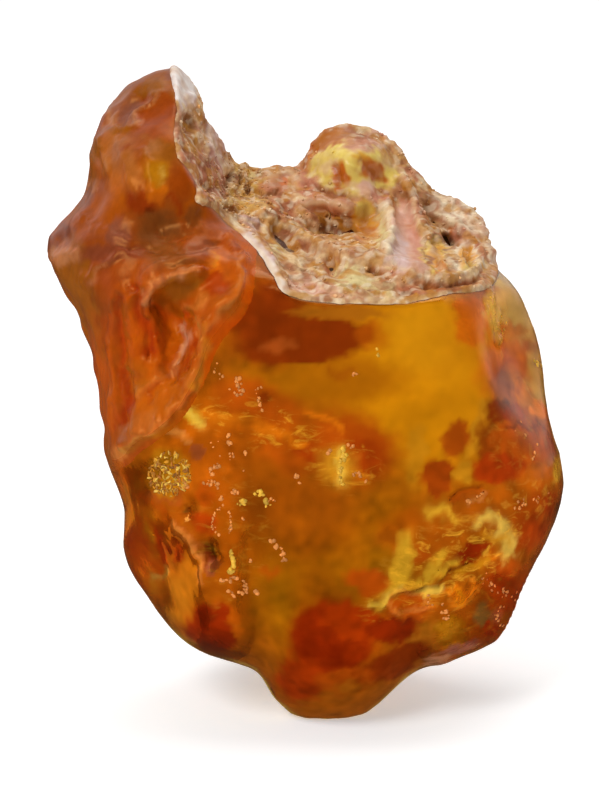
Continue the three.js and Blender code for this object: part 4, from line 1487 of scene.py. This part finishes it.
@dataclass(frozen=True)
class Crumb:
    """The dry, granular crust, which turns smooth and glossy where it is glazed."""

    grain_size: float = 0.5  # mm
    grain_height: float = 0.07  # mm
    dust_height: float = 0.8  # as a share of the grains'
    dust_fineness: float = 2.4  # how many dust grains lie along a grain
    rough: float = 0.66
    glossy: float = 0.3
    shine: float = 0.3
    blotches: float = 0.25
    glazed_blotches: float = 0.35  # the share of them that glazed places keep too
    blotch_size: float = 0.9  # mm

    def make(self) -> bpy.types.Material:
        """Build the material.

        Returns:
            The material.
        """
        material, shade, skin = Shading.material("weathered_crust")
        dry = shade.math("SUBTRACT", 1.0, shade.attribute("glaze"))
        depth = shade.math("MULTIPLY", self.blotches, shade.math("ADD", self.glazed_blotches, dry))
        worn = shade.worn("crust_colour", self.blotch_size, depth)
        shade.put(skin.inputs["Base Color"], worn)
        place = shade.add("TexCoord").outputs["Object"]
        cells = shade.add("TexVoronoi", {"Vector": place, "Scale": 1 / (self.grain_size * MM),
                                         "Smoothness": 0.6}, feature="SMOOTH_F1")
        dust = shade.add("TexNoise", {"Vector": place, "Detail": 3.0,
                                      "Scale": self.dust_fineness / (self.grain_size * MM)})
        height = shade.math("SUBTRACT", shade.math("MULTIPLY", dust.outputs["Fac"], self.dust_height),
                            cells.outputs["Distance"])
        bump = shade.add("Bump", {"Height": shade.math("MULTIPLY", height, dry), "Strength": 0.9,
                                  "Distance": self.grain_height * MM})
        shade.put(skin.inputs["Normal"], bump.outputs["Normal"])
        shade.put(skin.inputs["Roughness"], shade.math(
            "ADD", self.glossy, shade.math("MULTIPLY", dry, self.rough - self.glossy)))
        skin.inputs["Specular IOR Level"].default_value = self.shine
        return material


@dataclass(frozen=True)
class Glint:
    """The look of a small bright grain: a fleck, a crumb or one of the disc's grains."""

    name: str
    roughness: float
    facet_height: float = 0.05  # mm
    facets_per_mm: float = 2.5
    blotches: float = 0.12
    blotch_size: float = 0.5  # mm

    def make(self) -> bpy.types.Material:
        """Build the material.

        Returns:
            The material.
        """
        material, shade, skin = Shading.material(self.name)
        worn = shade.worn("tone", self.blotch_size, self.blotches)
        shade.put(skin.inputs["Base Color"], worn)
        skin.inputs["Roughness"].default_value = self.roughness
        place = shade.add("TexCoord").outputs["Object"]
        facets = shade.add("TexNoise", {"Vector": place, "Scale": self.facets_per_mm / MM,
                                        "Detail": 2.0})
        bump = shade.add("Bump", {"Height": facets.outputs["Fac"], "Strength": 0.7,
                                  "Distance": self.facet_height * MM})
        shade.put(skin.inputs["Normal"], bump.outputs["Normal"])
        return material


@dataclass
class Crust:
    """The granular shell that lies on the broken top and over the right side of the fin."""

    tuck: float = 0.04  # how far its edge dips under the resin's skin, mm
    lip: float = 0.18  # how far it stands proud of the skin, mm
    thickness: float = 0.5  # mm
    subdivided: float = 0.6  # faces whose corners together face the camera more than this are split
    coarse: Noise = Noise(0.3, 1.9, 14)
    fine: Noise = Noise(0.06, 0.55, 16)
    veins: Noise = Noise(1.0, 1.0, 15)  # thin ridges where it is near 0
    vein_level: float = 0.32
    vein_height: float = 0.2  # mm
    glazed_flatness: float = 0.9
    fold_gain: float = 1.25
    relief_reach: float = 0.9  # how far inside its edge the relief is full, mm
    lip_reach: float = 0.35  # how far inside its edge the lip is full, mm
    wall_reach: float = 0.8  # how far inside its edge it is at its thickest, mm
    edge_thickness: float = 0.08  # as a share of its thickness
    gain: float = 1.15
    base: tuple[Cloud, ...] = (Cloud(Tone.ROSE, 0.5, 0.0, 0.3, Noise(1.0, 2.6, 31)),
                               Cloud(Tone.CREAM, 0.9, 0.0, 0.25, Noise(1.0, 1.5, 32)),
                               Cloud(Tone.SAND, 0.8, 0.0, 0.3, Noise(1.0, 2.4, 33)))
    loose: tuple[Cloud, ...] = (Cloud(Tone.EARTH, 0.5, 0.15, 0.45, Noise(1.0, 1.1, 34)),
                                Cloud(Tone.GOLD, 0.6, 0.1, 0.35, Noise(1.0, 1.4, 35)),
                                Cloud(Tone.IVORY, 0.4, 0.12, 0.45, Noise(1.0, 0.7, 16)))
    glazed_cover: float = 0.85  # how far glazed places hide the loose clouds
    vein_tint: tuple[float, float, float] = (0.5, 0.24, 0.5)  # strength, start and full
    # painted highlights along the ridges and painted shade in the grooves
    ridge_highlight: tuple[float, float] = (0.55, 0.6)  # strength, and width as a share of the fold's
    groove_shade: tuple[float, float] = (0.5, 0.7)
    finish: Crumb = field(default_factory=Crumb)

    def build(self, smooth: bpy.types.Object) -> bpy.types.Object:
        """Cut the crust out of the stone's smooth shape, and give it relief and colour.

        Args:
            smooth: The stone before its fine folds.

        Returns:
            The crust.
        """
        crust = copy_of(smooth, "crust")
        self.cut_out(crust)
        self.model(crust)
        self.paint(crust)
        crust.data.materials.append(self.finish.make())
        return crust

    def cut_out(self, crust: bpy.types.Object) -> None:
        """Delete what lies outside the crusted area, and make the rest finer.

        Args:
            crust: The crust, which is a copy of the whole stone at first.
        """
        inside = straighten_edge(crust, crust_side(vectors_of(crust)))
        select_faces(crust, corner_sums(crust, inside) <= 0)
        bpy.ops.mesh.delete(type="FACE")
        bpy.ops.object.mode_set(mode="OBJECT")
        select_faces(crust, corner_sums(crust, facing(crust)) > self.subdivided)
        bpy.ops.mesh.subdivide(number_cuts=1)
        bpy.ops.object.mode_set(mode="OBJECT")
        apply(crust, "SMOOTH", factor=0.5, iterations=2)

    def model(self, crust: bpy.types.Object) -> None:
        """Raise its ridges and grains, sink its pits, and tuck in its edge.

        Args:
            crust: The crust.
        """
        places = vectors_of(crust)
        pixels = ragged_pixels(places)
        front = facing(crust)
        dry = 1 - self.glazed_flatness * glaze(pixels) * front
        ridged = self.vein_level - np.abs(self.veins.at(places))
        heights = dry * (self.coarse.at(places) + self.vein_height * ridged + self.fine.at(places))
        straight = 0.5 * (pixels + VIEW.to_pixels(places))
        folded = rise_of(CRUST_FOLDS, straight) + rise_of(CRUST_GROOVES, straight)
        heights += self.fold_gain * front * folded
        inside = crust_side(places)
        heights = heights * smoothstep(0.0, self.relief_reach, inside) + self.lip
        heights -= (self.tuck + self.lip) * (1 - smoothstep(0.0, self.lip_reach, inside))
        heights += skin_relief(places, front) * (1 - smoothstep(0.0, SKIN_REACH, inside))
        press(crust, heights)

    def paint(self, crust: bpy.types.Object) -> None:
        """Colour its grains and glazed places, paint highlights along its ridges and shade in its
        grooves, and give it its thickness.

        Args:
            crust: The crust.
        """
        places = vectors_of(crust)
        pixels = ragged_pixels(places)
        front = facing(crust)
        straight = 0.5 * (pixels + VIEW.to_pixels(places))
        dry = np.tile(linear(Tone.TAN.value), (len(places), 1))
        for cloud in self.base:
            dry = lay(dry, cloud.tone, cloud.cover(places))
        for tone, shape in CRUST_MARKS:
            dry = lay(dry, tone, shape.cover(pixels) * front)
        glazed = glaze(pixels) * front
        loose = 1 - self.glazed_cover * glazed
        strength, start, full = self.vein_tint
        veined = smoothstep(start, full, np.abs(self.veins.at(places)))
        dry = lay(dry, Tone.CLAY, strength * loose * veined)
        # painted highlights along the ridges and painted shade in the grooves
        for tone, folds, (strength, share) in ((Tone.CREAM, CRUST_FOLDS, self.ridge_highlight),
                                               (Tone.EARTH, CRUST_GROOVES, self.groove_shade)):
            for fold in folds:
                near = nearness(fold.path, share * fold.width, straight)
                dry = lay(dry, tone, strength * front * near)
        for cloud in self.loose:
            dry = lay(dry, cloud.tone, loose * cloud.cover(places))
        write_colours(crust, "crust_colour", np.clip(dry * self.gain, 0, 1))
        write_values(crust, "glaze", np.clip(glazed, 0, 1))
        wall = crust.vertex_groups.new(name="wall")
        for index, share in enumerate(smoothstep(0.0, self.wall_reach, crust_side(places))):
            wall.add([index], float(share), "REPLACE")
        apply(crust, "SOLIDIFY", thickness=self.thickness * MM, offset=-1.0, vertex_group="wall",
              thickness_vertex_group=self.edge_thickness)
        crust.vertex_groups.clear()
        bpy.ops.object.shade_smooth()


# The lumps of the resin's skin in mm, the level that stays where it is, and their share off the flank
SKIN_LUMPS, SKIN_LEVEL, SKIN_SHARE = Noise(1.0, 2.6, 3), 0.2, 0.05
FLANK_SHARE, FLANK_FADE = 0.22, (-1.5, 1.5)
SKIN_REACH = 0.6  # how far the skin's relief goes on under the crust, mm


def skin_relief(places: np.ndarray, front: np.ndarray) -> np.ndarray:
    """Say how far the resin's folds and lumps raise the skin.

    Args:
        places: Places on the smooth skin, in metres.
        front: How far each place faces the camera.

    Returns:
        The rise at each place, in mm.
    """
    pixels = ragged_pixels(places)
    flank = smoothstep(*FLANK_FADE, wax_side(places))
    folded = (rise_of(BODY_FOLDS, pixels) + rise_of(BODY_GROOVES, pixels)) * front
    return folded + (FLANK_SHARE * flank + SKIN_SHARE) * (SKIN_LUMPS.at(places) - SKIN_LEVEL)


def glaze(pixels: np.ndarray) -> np.ndarray:
    """Say where the crust is smooth and glossy, from 0 to 1."""
    return np.max([shape.cover(pixels) for shape in GLAZE], axis=0)


@dataclass
class Stone:
    """The stone's body: clear resin with a waxy flank, shaped and coloured in its skin."""

    voxel: float = 0.305  # mm
    merge: float = 0.002  # the distance at which the solid's vertices are one, mm
    smooth_rounds: int = 4
    back_rounds: int = 100
    border_rounds: int = 3
    sunk: float = 0.62  # how far its skin lies under the crust, mm
    sunk_fade: tuple[float, float] = (0.3, 1.0)  # mm inside the crust's edge
    softened: tuple[tuple[Oval, int], ...] = ((Oval((510, 355), (66, 120)), 240),
                                              (Oval((185, 585), (62, 86)), 60))
    speckle: tuple[Noise, Noise] = (Noise(0.2, 0.9, 25), Noise(0.22, 2.3, 26))
    clear_speckle: float = 0.25  # the share of the speckle that the clear window keeps
    rind_noise: tuple[Noise, Noise] = (Noise(1.0, 9, 21), Noise(0.4, 3, 22))
    rind_fade: tuple[float, float] = (0.1, 0.4)
    rind_strength: float = 0.6
    rind_hidden: float = 0.85  # how much of it is missing behind the window
    waxy_clouds: tuple[Cloud, ...] = (Cloud(Tone.SIENNA, 0.6, 0, 0.4, Noise(1.0, 4, 24)),
                                      Cloud(Tone.OCHRE, 0.6, 0, 0.35, Noise(1.0, 6.5, 27)))
    roughness: float = 0.1
    flank_roughness: float = 0.22
    flank_fade: tuple[float, float] = (-0.5, 1.5)  # mm inside the flank's edge
    back_roughness: float = 0.35
    shoulder_roughness: float = 0.1
    shoulder: Oval = Oval((505, 350), (62, 105))
    clear_light: Colour = (252, 232, 120)  # daylight after it went through untinted resin
    clear_back: Colour = (0.96, 0.9, 0.66)  # what the clear back lets through
    wax_gain: float = 1.15
    resin: Resin = field(default_factory=Resin)
    wax: Resin = field(default_factory=lambda: Resin(
        name="waxy_amber", paint="wax_colour", clearness=0.5, gloss=(1.0, 0.45, 0.12), shine=0.2,
        blotches=0.3, blotch_size=1.2, stretch=3.0, ripple=0.16))

    def shape(self, node: bpy.types.Object) -> bpy.types.Object:
        """Make an even, smooth mesh from the CAD node.

        Args:
            node: The CAD node's object.

        Returns:
            The smooth stone.
        """
        stone = copy_of(node, "finished_stone")
        stone.data.materials.clear()
        choose(stone)
        bpy.ops.object.mode_set(mode="EDIT")
        bpy.ops.mesh.select_all(action="SELECT")
        bpy.ops.mesh.remove_doubles(threshold=self.merge * MM)
        bpy.ops.object.mode_set(mode="OBJECT")
        apply(stone, "REMESH", mode="VOXEL", voxel_size=self.voxel * MM)
        apply(stone, "SMOOTH", factor=0.5, iterations=self.smooth_rounds)
        for oval, rounds in self.softened:
            soften(stone, oval.cover(VIEW.to_pixels(vectors_of(stone))) > 0.3, rounds)
        soften(stone, facing(stone) < 0.5, self.back_rounds)
        bpy.ops.object.shade_smooth()
        return stone

    def finish(self, stone: bpy.types.Object) -> None:
        """Give the smooth stone its folds, colours and materials.

        Args:
            stone: The smooth stone.
        """
        self.model(stone)
        wax = straighten_edge(stone, wax_side(vectors_of(stone)))
        soften(stone, np.abs(wax) < 0.9, self.border_rounds)
        self.paint(stone)
        for finish in (self.resin, self.wax):
            stone.data.materials.append(finish.make())
        waxy = corner_sums(stone, wax) > 0
        stone.data.polygons.foreach_set("material_index", waxy.astype(np.int32))
        stone.data.update()

    def model(self, stone: bpy.types.Object) -> None:
        """Raise the fine folds, sink the grooves, and sink the skin under the crust.

        Args:
            stone: The smooth stone.
        """
        places = vectors_of(stone)
        inside = crust_side(places)
        heights = skin_relief(places, facing(stone)) * (1 - smoothstep(0.0, SKIN_REACH, inside))
        heights -= self.sunk * smoothstep(*self.sunk_fade, inside)
        press(stone, heights)

    def paint(self, stone: bpy.types.Object) -> None:
        """Colour the resin and the waxy flank, and say how rough each place is.

        Args:
            stone: The stone.
        """
        places = vectors_of(stone)
        pixels = ragged_pixels(places)
        straight = VIEW.to_pixels(places)
        front = facing(stone)
        self.paint_resin(stone, pixels, straight, front[:, None])
        waxy = np.tile(linear(Tone.DULL_ORANGE.value), (len(places), 1))
        for cloud in self.waxy_clouds:
            waxy = lay(waxy, cloud.tone, cloud.cover(places))
        # the flank's colours, with painted highlights, a painted glow and painted reflections among
        # them
        for tone, shape in WAX_MARKS:
            waxy = lay(waxy, tone, shape.cover(pixels) * front)
        write_colours(stone, "wax_colour", np.clip(waxy * self.wax_gain, 0, 0.95))
        flank = smoothstep(*self.flank_fade, wax_side(places))
        write_values(stone, "roughness", self.roughness + self.flank_roughness * flank
                     + self.back_roughness * (1 - front)
                     + self.shoulder_roughness * self.shoulder.cover(straight))

    def paint_resin(self, stone: bpy.types.Object, pixels: np.ndarray, straight: np.ndarray,
                    front: np.ndarray) -> None:
        """Colour the clear resin, where light passes the skin's colour on its way in and out.

        Args:
            stone: The stone.
            pixels: The ragged pixel of each vertex.
            straight: The pixel of each vertex.
            front: How far each vertex faces the camera, in one column.
        """
        places = vectors_of(stone)
        seen = np.tile(linear(Tone.AMBER.value), (len(places), 1))
        # the resin's colours with a painted highlight among them, then the painted crack glints
        for tone, shape in (*RESIN_MARKS, *PAINTED_CRACK_GLINTS):
            seen = lay(seen, tone, shape.cover(pixels))
        cloudy = self.clear_speckle + (1 - self.clear_speckle) * (1 - CLEAR_WINDOW.cover(pixels))
        seen = seen * (1 + cloudy * sum(noise.at(places) for noise in self.speckle))[:, None]
        dim = np.max([oval.cover(pixels) for oval in DIM_PLACES], axis=0)[:, None]
        # painted light: the tint is made lighter where less light arrives
        tint = np.clip(seen / (linear(self.clear_light) * (1 - dim)), 0, 1)
        crackle = np.max([oval.cover(pixels) for oval in CRACKLE], axis=0)
        write_values(stone, "crackle", np.clip(crackle, 0, 1) * front[:, 0])
        rind = smoothstep(*self.rind_fade, sum(noise.at(places) for noise in self.rind_noise))
        rind = self.rind_strength * rind * (1 - self.rind_hidden * BEHIND_WINDOW.cover(straight))
        behind = lay(np.tile(self.clear_back, (len(places), 1)), Tone.RUST, rind)
        tint = tint * front + behind * (1 - front)
        write_colours(stone, "resin_colour", np.clip(tint, 0, 0.98) ** 2)


@dataclass
class Inlay:
    """Small bright things set in the stone's skin along the photograph's lines of sight."""

    skin: BVHTree

    @classmethod
    def of(cls, stone: bpy.types.Object) -> "Inlay":
        """Read the skin of a finished stone."""
        faces = [tuple(face.vertices) for face in stone.data.polygons]
        return cls(BVHTree.FromPolygons([vertex.co for vertex in stone.data.vertices], faces))

    def spot(self, pixel: Pixel, above: float = 0.0) -> tuple[Vector, Vector] | None:
        """Find the place under a pixel of the photograph.

        Args:
            pixel: The pixel.
            above: How far above the skin the place is, in mm.

        Returns:
            The place and the skin's normal there, or None where the pixel misses the stone.
        """
        place, normal, _, _ = self.skin.ray_cast(VIEW.eye(), VIEW.ray(pixel))
        return None if place is None else (place + normal * above * MM, normal)


def join_copies(shape: bpy.types.Object, name: str, turns: list[Matrix],
                tones: list[np.ndarray]) -> bpy.types.Object:
    """Copy a small shape to many places, give each copy its tone, and join them into one piece.

    Args:
        shape: The shape, at the origin.
        name: The piece's name.
        turns: The place, turn and size of each copy.
        tones: The linear colour of each copy.

    Returns:
        The joined piece.
    """
    copies = []
    for turn, tone in zip(turns, tones):
        copy = copy_of(shape, name)
        copy.data.transform(turn)
        write_colours(copy, "tone", np.tile(np.clip(tone, 0, 1), (len(copy.data.vertices), 1)))
        copies.append(copy)
    bpy.data.objects.remove(shape)
    choose(*copies)
    bpy.ops.object.join()
    bpy.ops.object.shade_smooth()
    piece = bpy.context.view_layer.objects.active
    piece.name = piece.data.name = name
    return piece


PEBBLE_NOISE = Noise(0.28, 0.7, 3)


def pebble(name: str) -> bpy.types.Object:
    """Make a small uneven grain about 1 m across, to be copied at its real size.

    Args:
        name: Its name.

    Returns:
        The grain.
    """
    bpy.ops.mesh.primitive_ico_sphere_add(subdivisions=1, radius=0.5)
    grain = bpy.context.object
    grain.name = name
    places = vectors_of(grain)
    move_to(grain, places * (1 + PEBBLE_NOISE.at(places * MM))[:, None])
    return grain


def tumble(draw: np.random.Generator, place: Vector, normal: Vector, size: float,
           flatness: float) -> Matrix:
    """Choose how a grain lies on the skin.

    Args:
        draw: The source of chance.
        place: Where it lies, in metres.
        normal: The skin's normal there.
        size: Its length in mm.
        flatness: Its height over its length.

    Returns:
        The grain's place, turn and size.
    """
    turn = normal.to_track_quat("Z", "Y").to_matrix().to_4x4()
    spin = Matrix.Rotation(draw.uniform(0, 2 * math.pi), 4, "Z")
    long = size * MM
    stretch = Matrix.Diagonal((long, long * draw.uniform(0.55, 0.95), long * flatness, 1))
    return Matrix.Translation(place) @ turn @ spin @ stretch


@dataclass
class CrustGrains:
    """Loose crumbs of crust, most of them on the yellow granular part beside the fin."""

    count: int = 700
    sizes: tuple[float, float] = (0.18, 0.42)  # mm
    heavy: Oval = Oval((238, 188), (32, 36))  # where most of them lie
    heavy_share: float = 2.2
    light_share: float = 0.25
    back_share: float = 0.3
    inset: float = 0.5  # how far inside the crust's edge they lie, mm
    raised: float = 0.12  # how far a crumb's middle stands above the crust, as a share of its size
    flatness: float = 0.7
    finish: Glint = Glint("crumbs", roughness=0.6)

    def build(self, crust: bpy.types.Object) -> bpy.types.Object:
        """Scatter the crumbs on the crust.

        Args:
            crust: The finished crust.

        Returns:
            The crumbs, joined.
        """
        draw = np.random.default_rng(11)
        places, normals = vectors_of(crust), vectors_of(crust, "normal")
        pixels = VIEW.to_pixels(places)
        glazed = np.empty(len(places))
        crust.data.attributes["glaze"].data.foreach_get("value", glazed)
        colours = np.empty(len(places) * 4)
        crust.data.color_attributes["crust_colour"].data.foreach_get("color", colours)
        colours = colours.reshape(-1, 4)[:, :3]
        outer = crust_side(places) > self.inset
        heavy = self.light_share + self.heavy_share * self.heavy.cover(pixels)
        weight = outer * (1 - glazed) * heavy * (self.back_share + facing(crust))
        chosen = draw.choice(len(places), self.count, replace=False, p=weight / weight.sum())
        turns, tones = [], []
        for index in chosen:
            size = self.sizes[0] + (self.sizes[1] - self.sizes[0]) * draw.random() ** 2
            place, normal = Vector(places[index]), Vector(normals[index])
            middle = place + normal * self.raised * size * MM
            turns.append(tumble(draw, middle, normal, size, self.flatness))
            cream = draw.random() ** 2 * 0.6
            tones.append(colours[index] * draw.uniform(0.85, 1.4) * (1 - cream)
                         + linear(Tone.CREAM.value) * cream)
        crumbs = join_copies(pebble("crumb"), "crust_crumbs", turns, tones)
        crumbs.data.materials.append(self.finish.make())
        return crumbs


@dataclass
class Flecks:
    """Gold and pink flecks in the skin, in clusters and small rings."""

    raised: float = 0.03  # how far a fleck's middle stands above the skin, as a share of its size
    flatness: float = 0.24
    finish: Glint = Glint("gold_flecks", roughness=0.5)

    def build(self, inlay: Inlay) -> bpy.types.Object:
        """Set the flecks in the skin.

        Args:
            inlay: The stone's skin.

        Returns:
            The flecks, joined.
        """
        draw = np.random.default_rng(23)
        turns, tones = [], []
        for sprinkle in FLECKS:
            line = smooth_line(sprinkle.path)
            for _ in range(3 * sprinkle.count // 2):
                pixel = line[draw.integers(len(line))] + draw.normal(0, sprinkle.spread / 2, 2)
                size = sprinkle.size * draw.uniform(0.5, 1.5)
                found = inlay.spot(tuple(pixel), self.raised * size)
                if found:
                    turns.append(tumble(draw, *found, size, self.flatness))
                    tones.append(linear(sprinkle.tone.value) * draw.uniform(0.9, 1.7))
        flecks = join_copies(pebble("fleck"), "gold_flecks", turns, tones)
        flecks.data.materials.append(self.finish.make())
        return flecks


@dataclass
class GrainDisc:
    """The round yellow-green cluster of wormy grains at the lower left."""

    middle: Pixel = (169.5, 474.5)
    reach: tuple[float, float] = (21.0, 22.0)  # pixels
    count: int = 260
    size: float = 0.46  # mm
    flatness: float = 0.34
    slimness: float = 0.5  # a grain's width over that of other grains
    tones: tuple[Tone, ...] = (Tone.GOLD, Tone.YELLOW, Tone.GOLD, Tone.OLIVE, Tone.STRAW, Tone.OCHRE)
    finish: Glint = Glint("disc_grains", roughness=0.4)

    def build(self, inlay: Inlay) -> bpy.types.Object:
        """Set the disc's grains in the skin.

        Args:
            inlay: The stone's skin.

        Returns:
            The grains, joined.
        """
        draw = np.random.default_rng(37)
        turns, tones = [], []
        for _ in range(self.count):
            angle, radius = draw.uniform(0, 2 * math.pi), draw.random() ** 0.5
            pixel = (self.middle[0] + self.reach[0] * radius * math.cos(angle),
                     self.middle[1] + self.reach[1] * radius * math.sin(angle))
            size = self.size * draw.uniform(0.5, 1.5)
            found = inlay.spot(pixel)
            if found:
                slim = Matrix.Diagonal((1, self.slimness, 1, 1))
                turns.append(tumble(draw, *found, size, self.flatness) @ slim)
                tone = self.tones[draw.integers(len(self.tones))]
                tones.append(linear(tone.value) * draw.uniform(0.8, 1.6))
        disc = join_copies(pebble("disc_grain"), "granular_disc", turns, tones)
        disc.data.materials.append(self.finish.make())
        return disc


@dataclass
class Studio:
    """A pale floor, soft light from behind and above, and the photograph's camera."""

    floor_size: float = 8.0
    floor_colour: Colour = (0.9, 0.9, 0.9)
    sensor: float = 36.0
    front_light: Colour = (0.22, 0.2, 0.18)
    low_light: Colour = (0.1, 0.06, 0.03)
    back_light: Colour = (1.0, 1.0, 1.0)
    behind_fade: tuple[float, float] = (-0.15, 0.65)  # from the front light to the back light
    horizon_fade: tuple[float, float] = (-0.1, 0.12)  # from the low light to the light above
    brightness: float = 0.8
    floor_glow: float = 0.42
    aim: tuple[float, float, float] = (0, 0, 0.028)  # where the lamps point, in metres

    def build(self) -> None:
        """Build the floor, the lights and the camera."""
        self.lay_floor()
        self.light_room()
        self.place_camera()

    def lay_floor(self) -> None:
        """Lay the floor under the stone."""
        bpy.ops.mesh.primitive_plane_add(size=self.floor_size, location=(0, 0, 0))
        floor = bpy.context.object
        floor.name = "floor"
        material, _, skin = Shading.material("pale_floor")
        skin.inputs["Base Color"].default_value = (*self.floor_colour, 1)
        skin.inputs["Roughness"].default_value = 0.9
        skin.inputs["Specular IOR Level"].default_value = 0.1
        skin.inputs["Emission Color"].default_value = (1, 1, 1, 1)
        skin.inputs["Emission Strength"].default_value = self.floor_glow
        floor.data.materials.append(material)
        floor.visible_glossy = False

    def light_room(self) -> None:
        """Light the room: bright behind the stone and dimmer on the camera's side."""
        world = bpy.data.worlds.new("room")
        bpy.context.scene.world = world
        world.use_nodes = True
        shade = Shading(world.node_tree)
        apart = shade.add("SeparateXYZ", {0: shade.add("TexCoord").outputs["Generated"]})
        behind = shade.ramp(apart.outputs["Y"], *self.behind_fade)
        above = shade.ramp(apart.outputs["Z"], *self.horizon_fade)
        upper = shade.mix("MIX", behind, (*self.front_light, 1), (*self.back_light, 1))
        colour = shade.mix("MIX", above, (*self.low_light, 1), upper)
        sky = world.node_tree.nodes["Background"]
        shade.put(sky.inputs["Color"], colour)
        sky.inputs["Strength"].default_value = self.brightness
        self.hang_lamp("key", at=(-0.2, -0.3, 0.34), size=0.2, power=1.2)
        self.hang_lamp("above", at=(0.05, 0.12, 0.5), size=0.34, power=1.0)

    def hang_lamp(self, name: str, at: tuple[float, float, float], size: float, power: float) -> None:
        """Hang a square soft light that points at the stone.

        Args:
            name: The lamp's name.
            at: Its place in metres.
            size: The length of its side in metres.
            power: Its power in watts.
        """
        bpy.ops.object.light_add(type="AREA", location=at)
        lamp = bpy.context.object
        lamp.name = name
        lamp.data.size = size
        lamp.data.energy = power
        aim = Vector(self.aim) - Vector(at)
        lamp.rotation_euler = aim.to_track_quat("-Z", "Y").to_euler()

    def place_camera(self) -> None:
        """Place the camera where the photograph was taken from."""
        bpy.ops.object.camera_add(location=VIEW.eye(), rotation=(math.radians(90) - VIEW.lean, 0, 0))
        camera = bpy.context.object
        camera.data.sensor_width = self.sensor
        camera.data.lens = self.sensor * VIEW.distance * VIEW.pixels_per_mm / VIEW.size[1]
        camera.data.clip_start = 0.01
        bpy.context.scene.camera = camera
        bpy.context.scene.view_settings.view_transform = "Standard"


def main() -> None:
    """Build the stone and its room."""
    logging.basicConfig(level=logging.INFO, format="%(name)s: %(message)s")
    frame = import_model()
    bpy.ops.object.select_all(action="DESELECT")
    Studio().build()
    make_weathering()
    body = Stone()
    stone = body.shape(frame["nodes"][NODE])
    crust = Crust().build(stone)
    body.finish(stone)
    inlay = Inlay.of(stone)
    pieces = [stone, crust, CrustGrains().build(crust), Flecks().build(inlay),
              GrainDisc().build(inlay)]
    for piece in pieces:
        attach(piece, "root")
        piece.data.calc_loop_triangles()
        LOG.info("%s: %d triangles", piece.name, len(piece.data.loop_triangles))
    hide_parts(NODE)


if __name__ == "__main__":
    main()
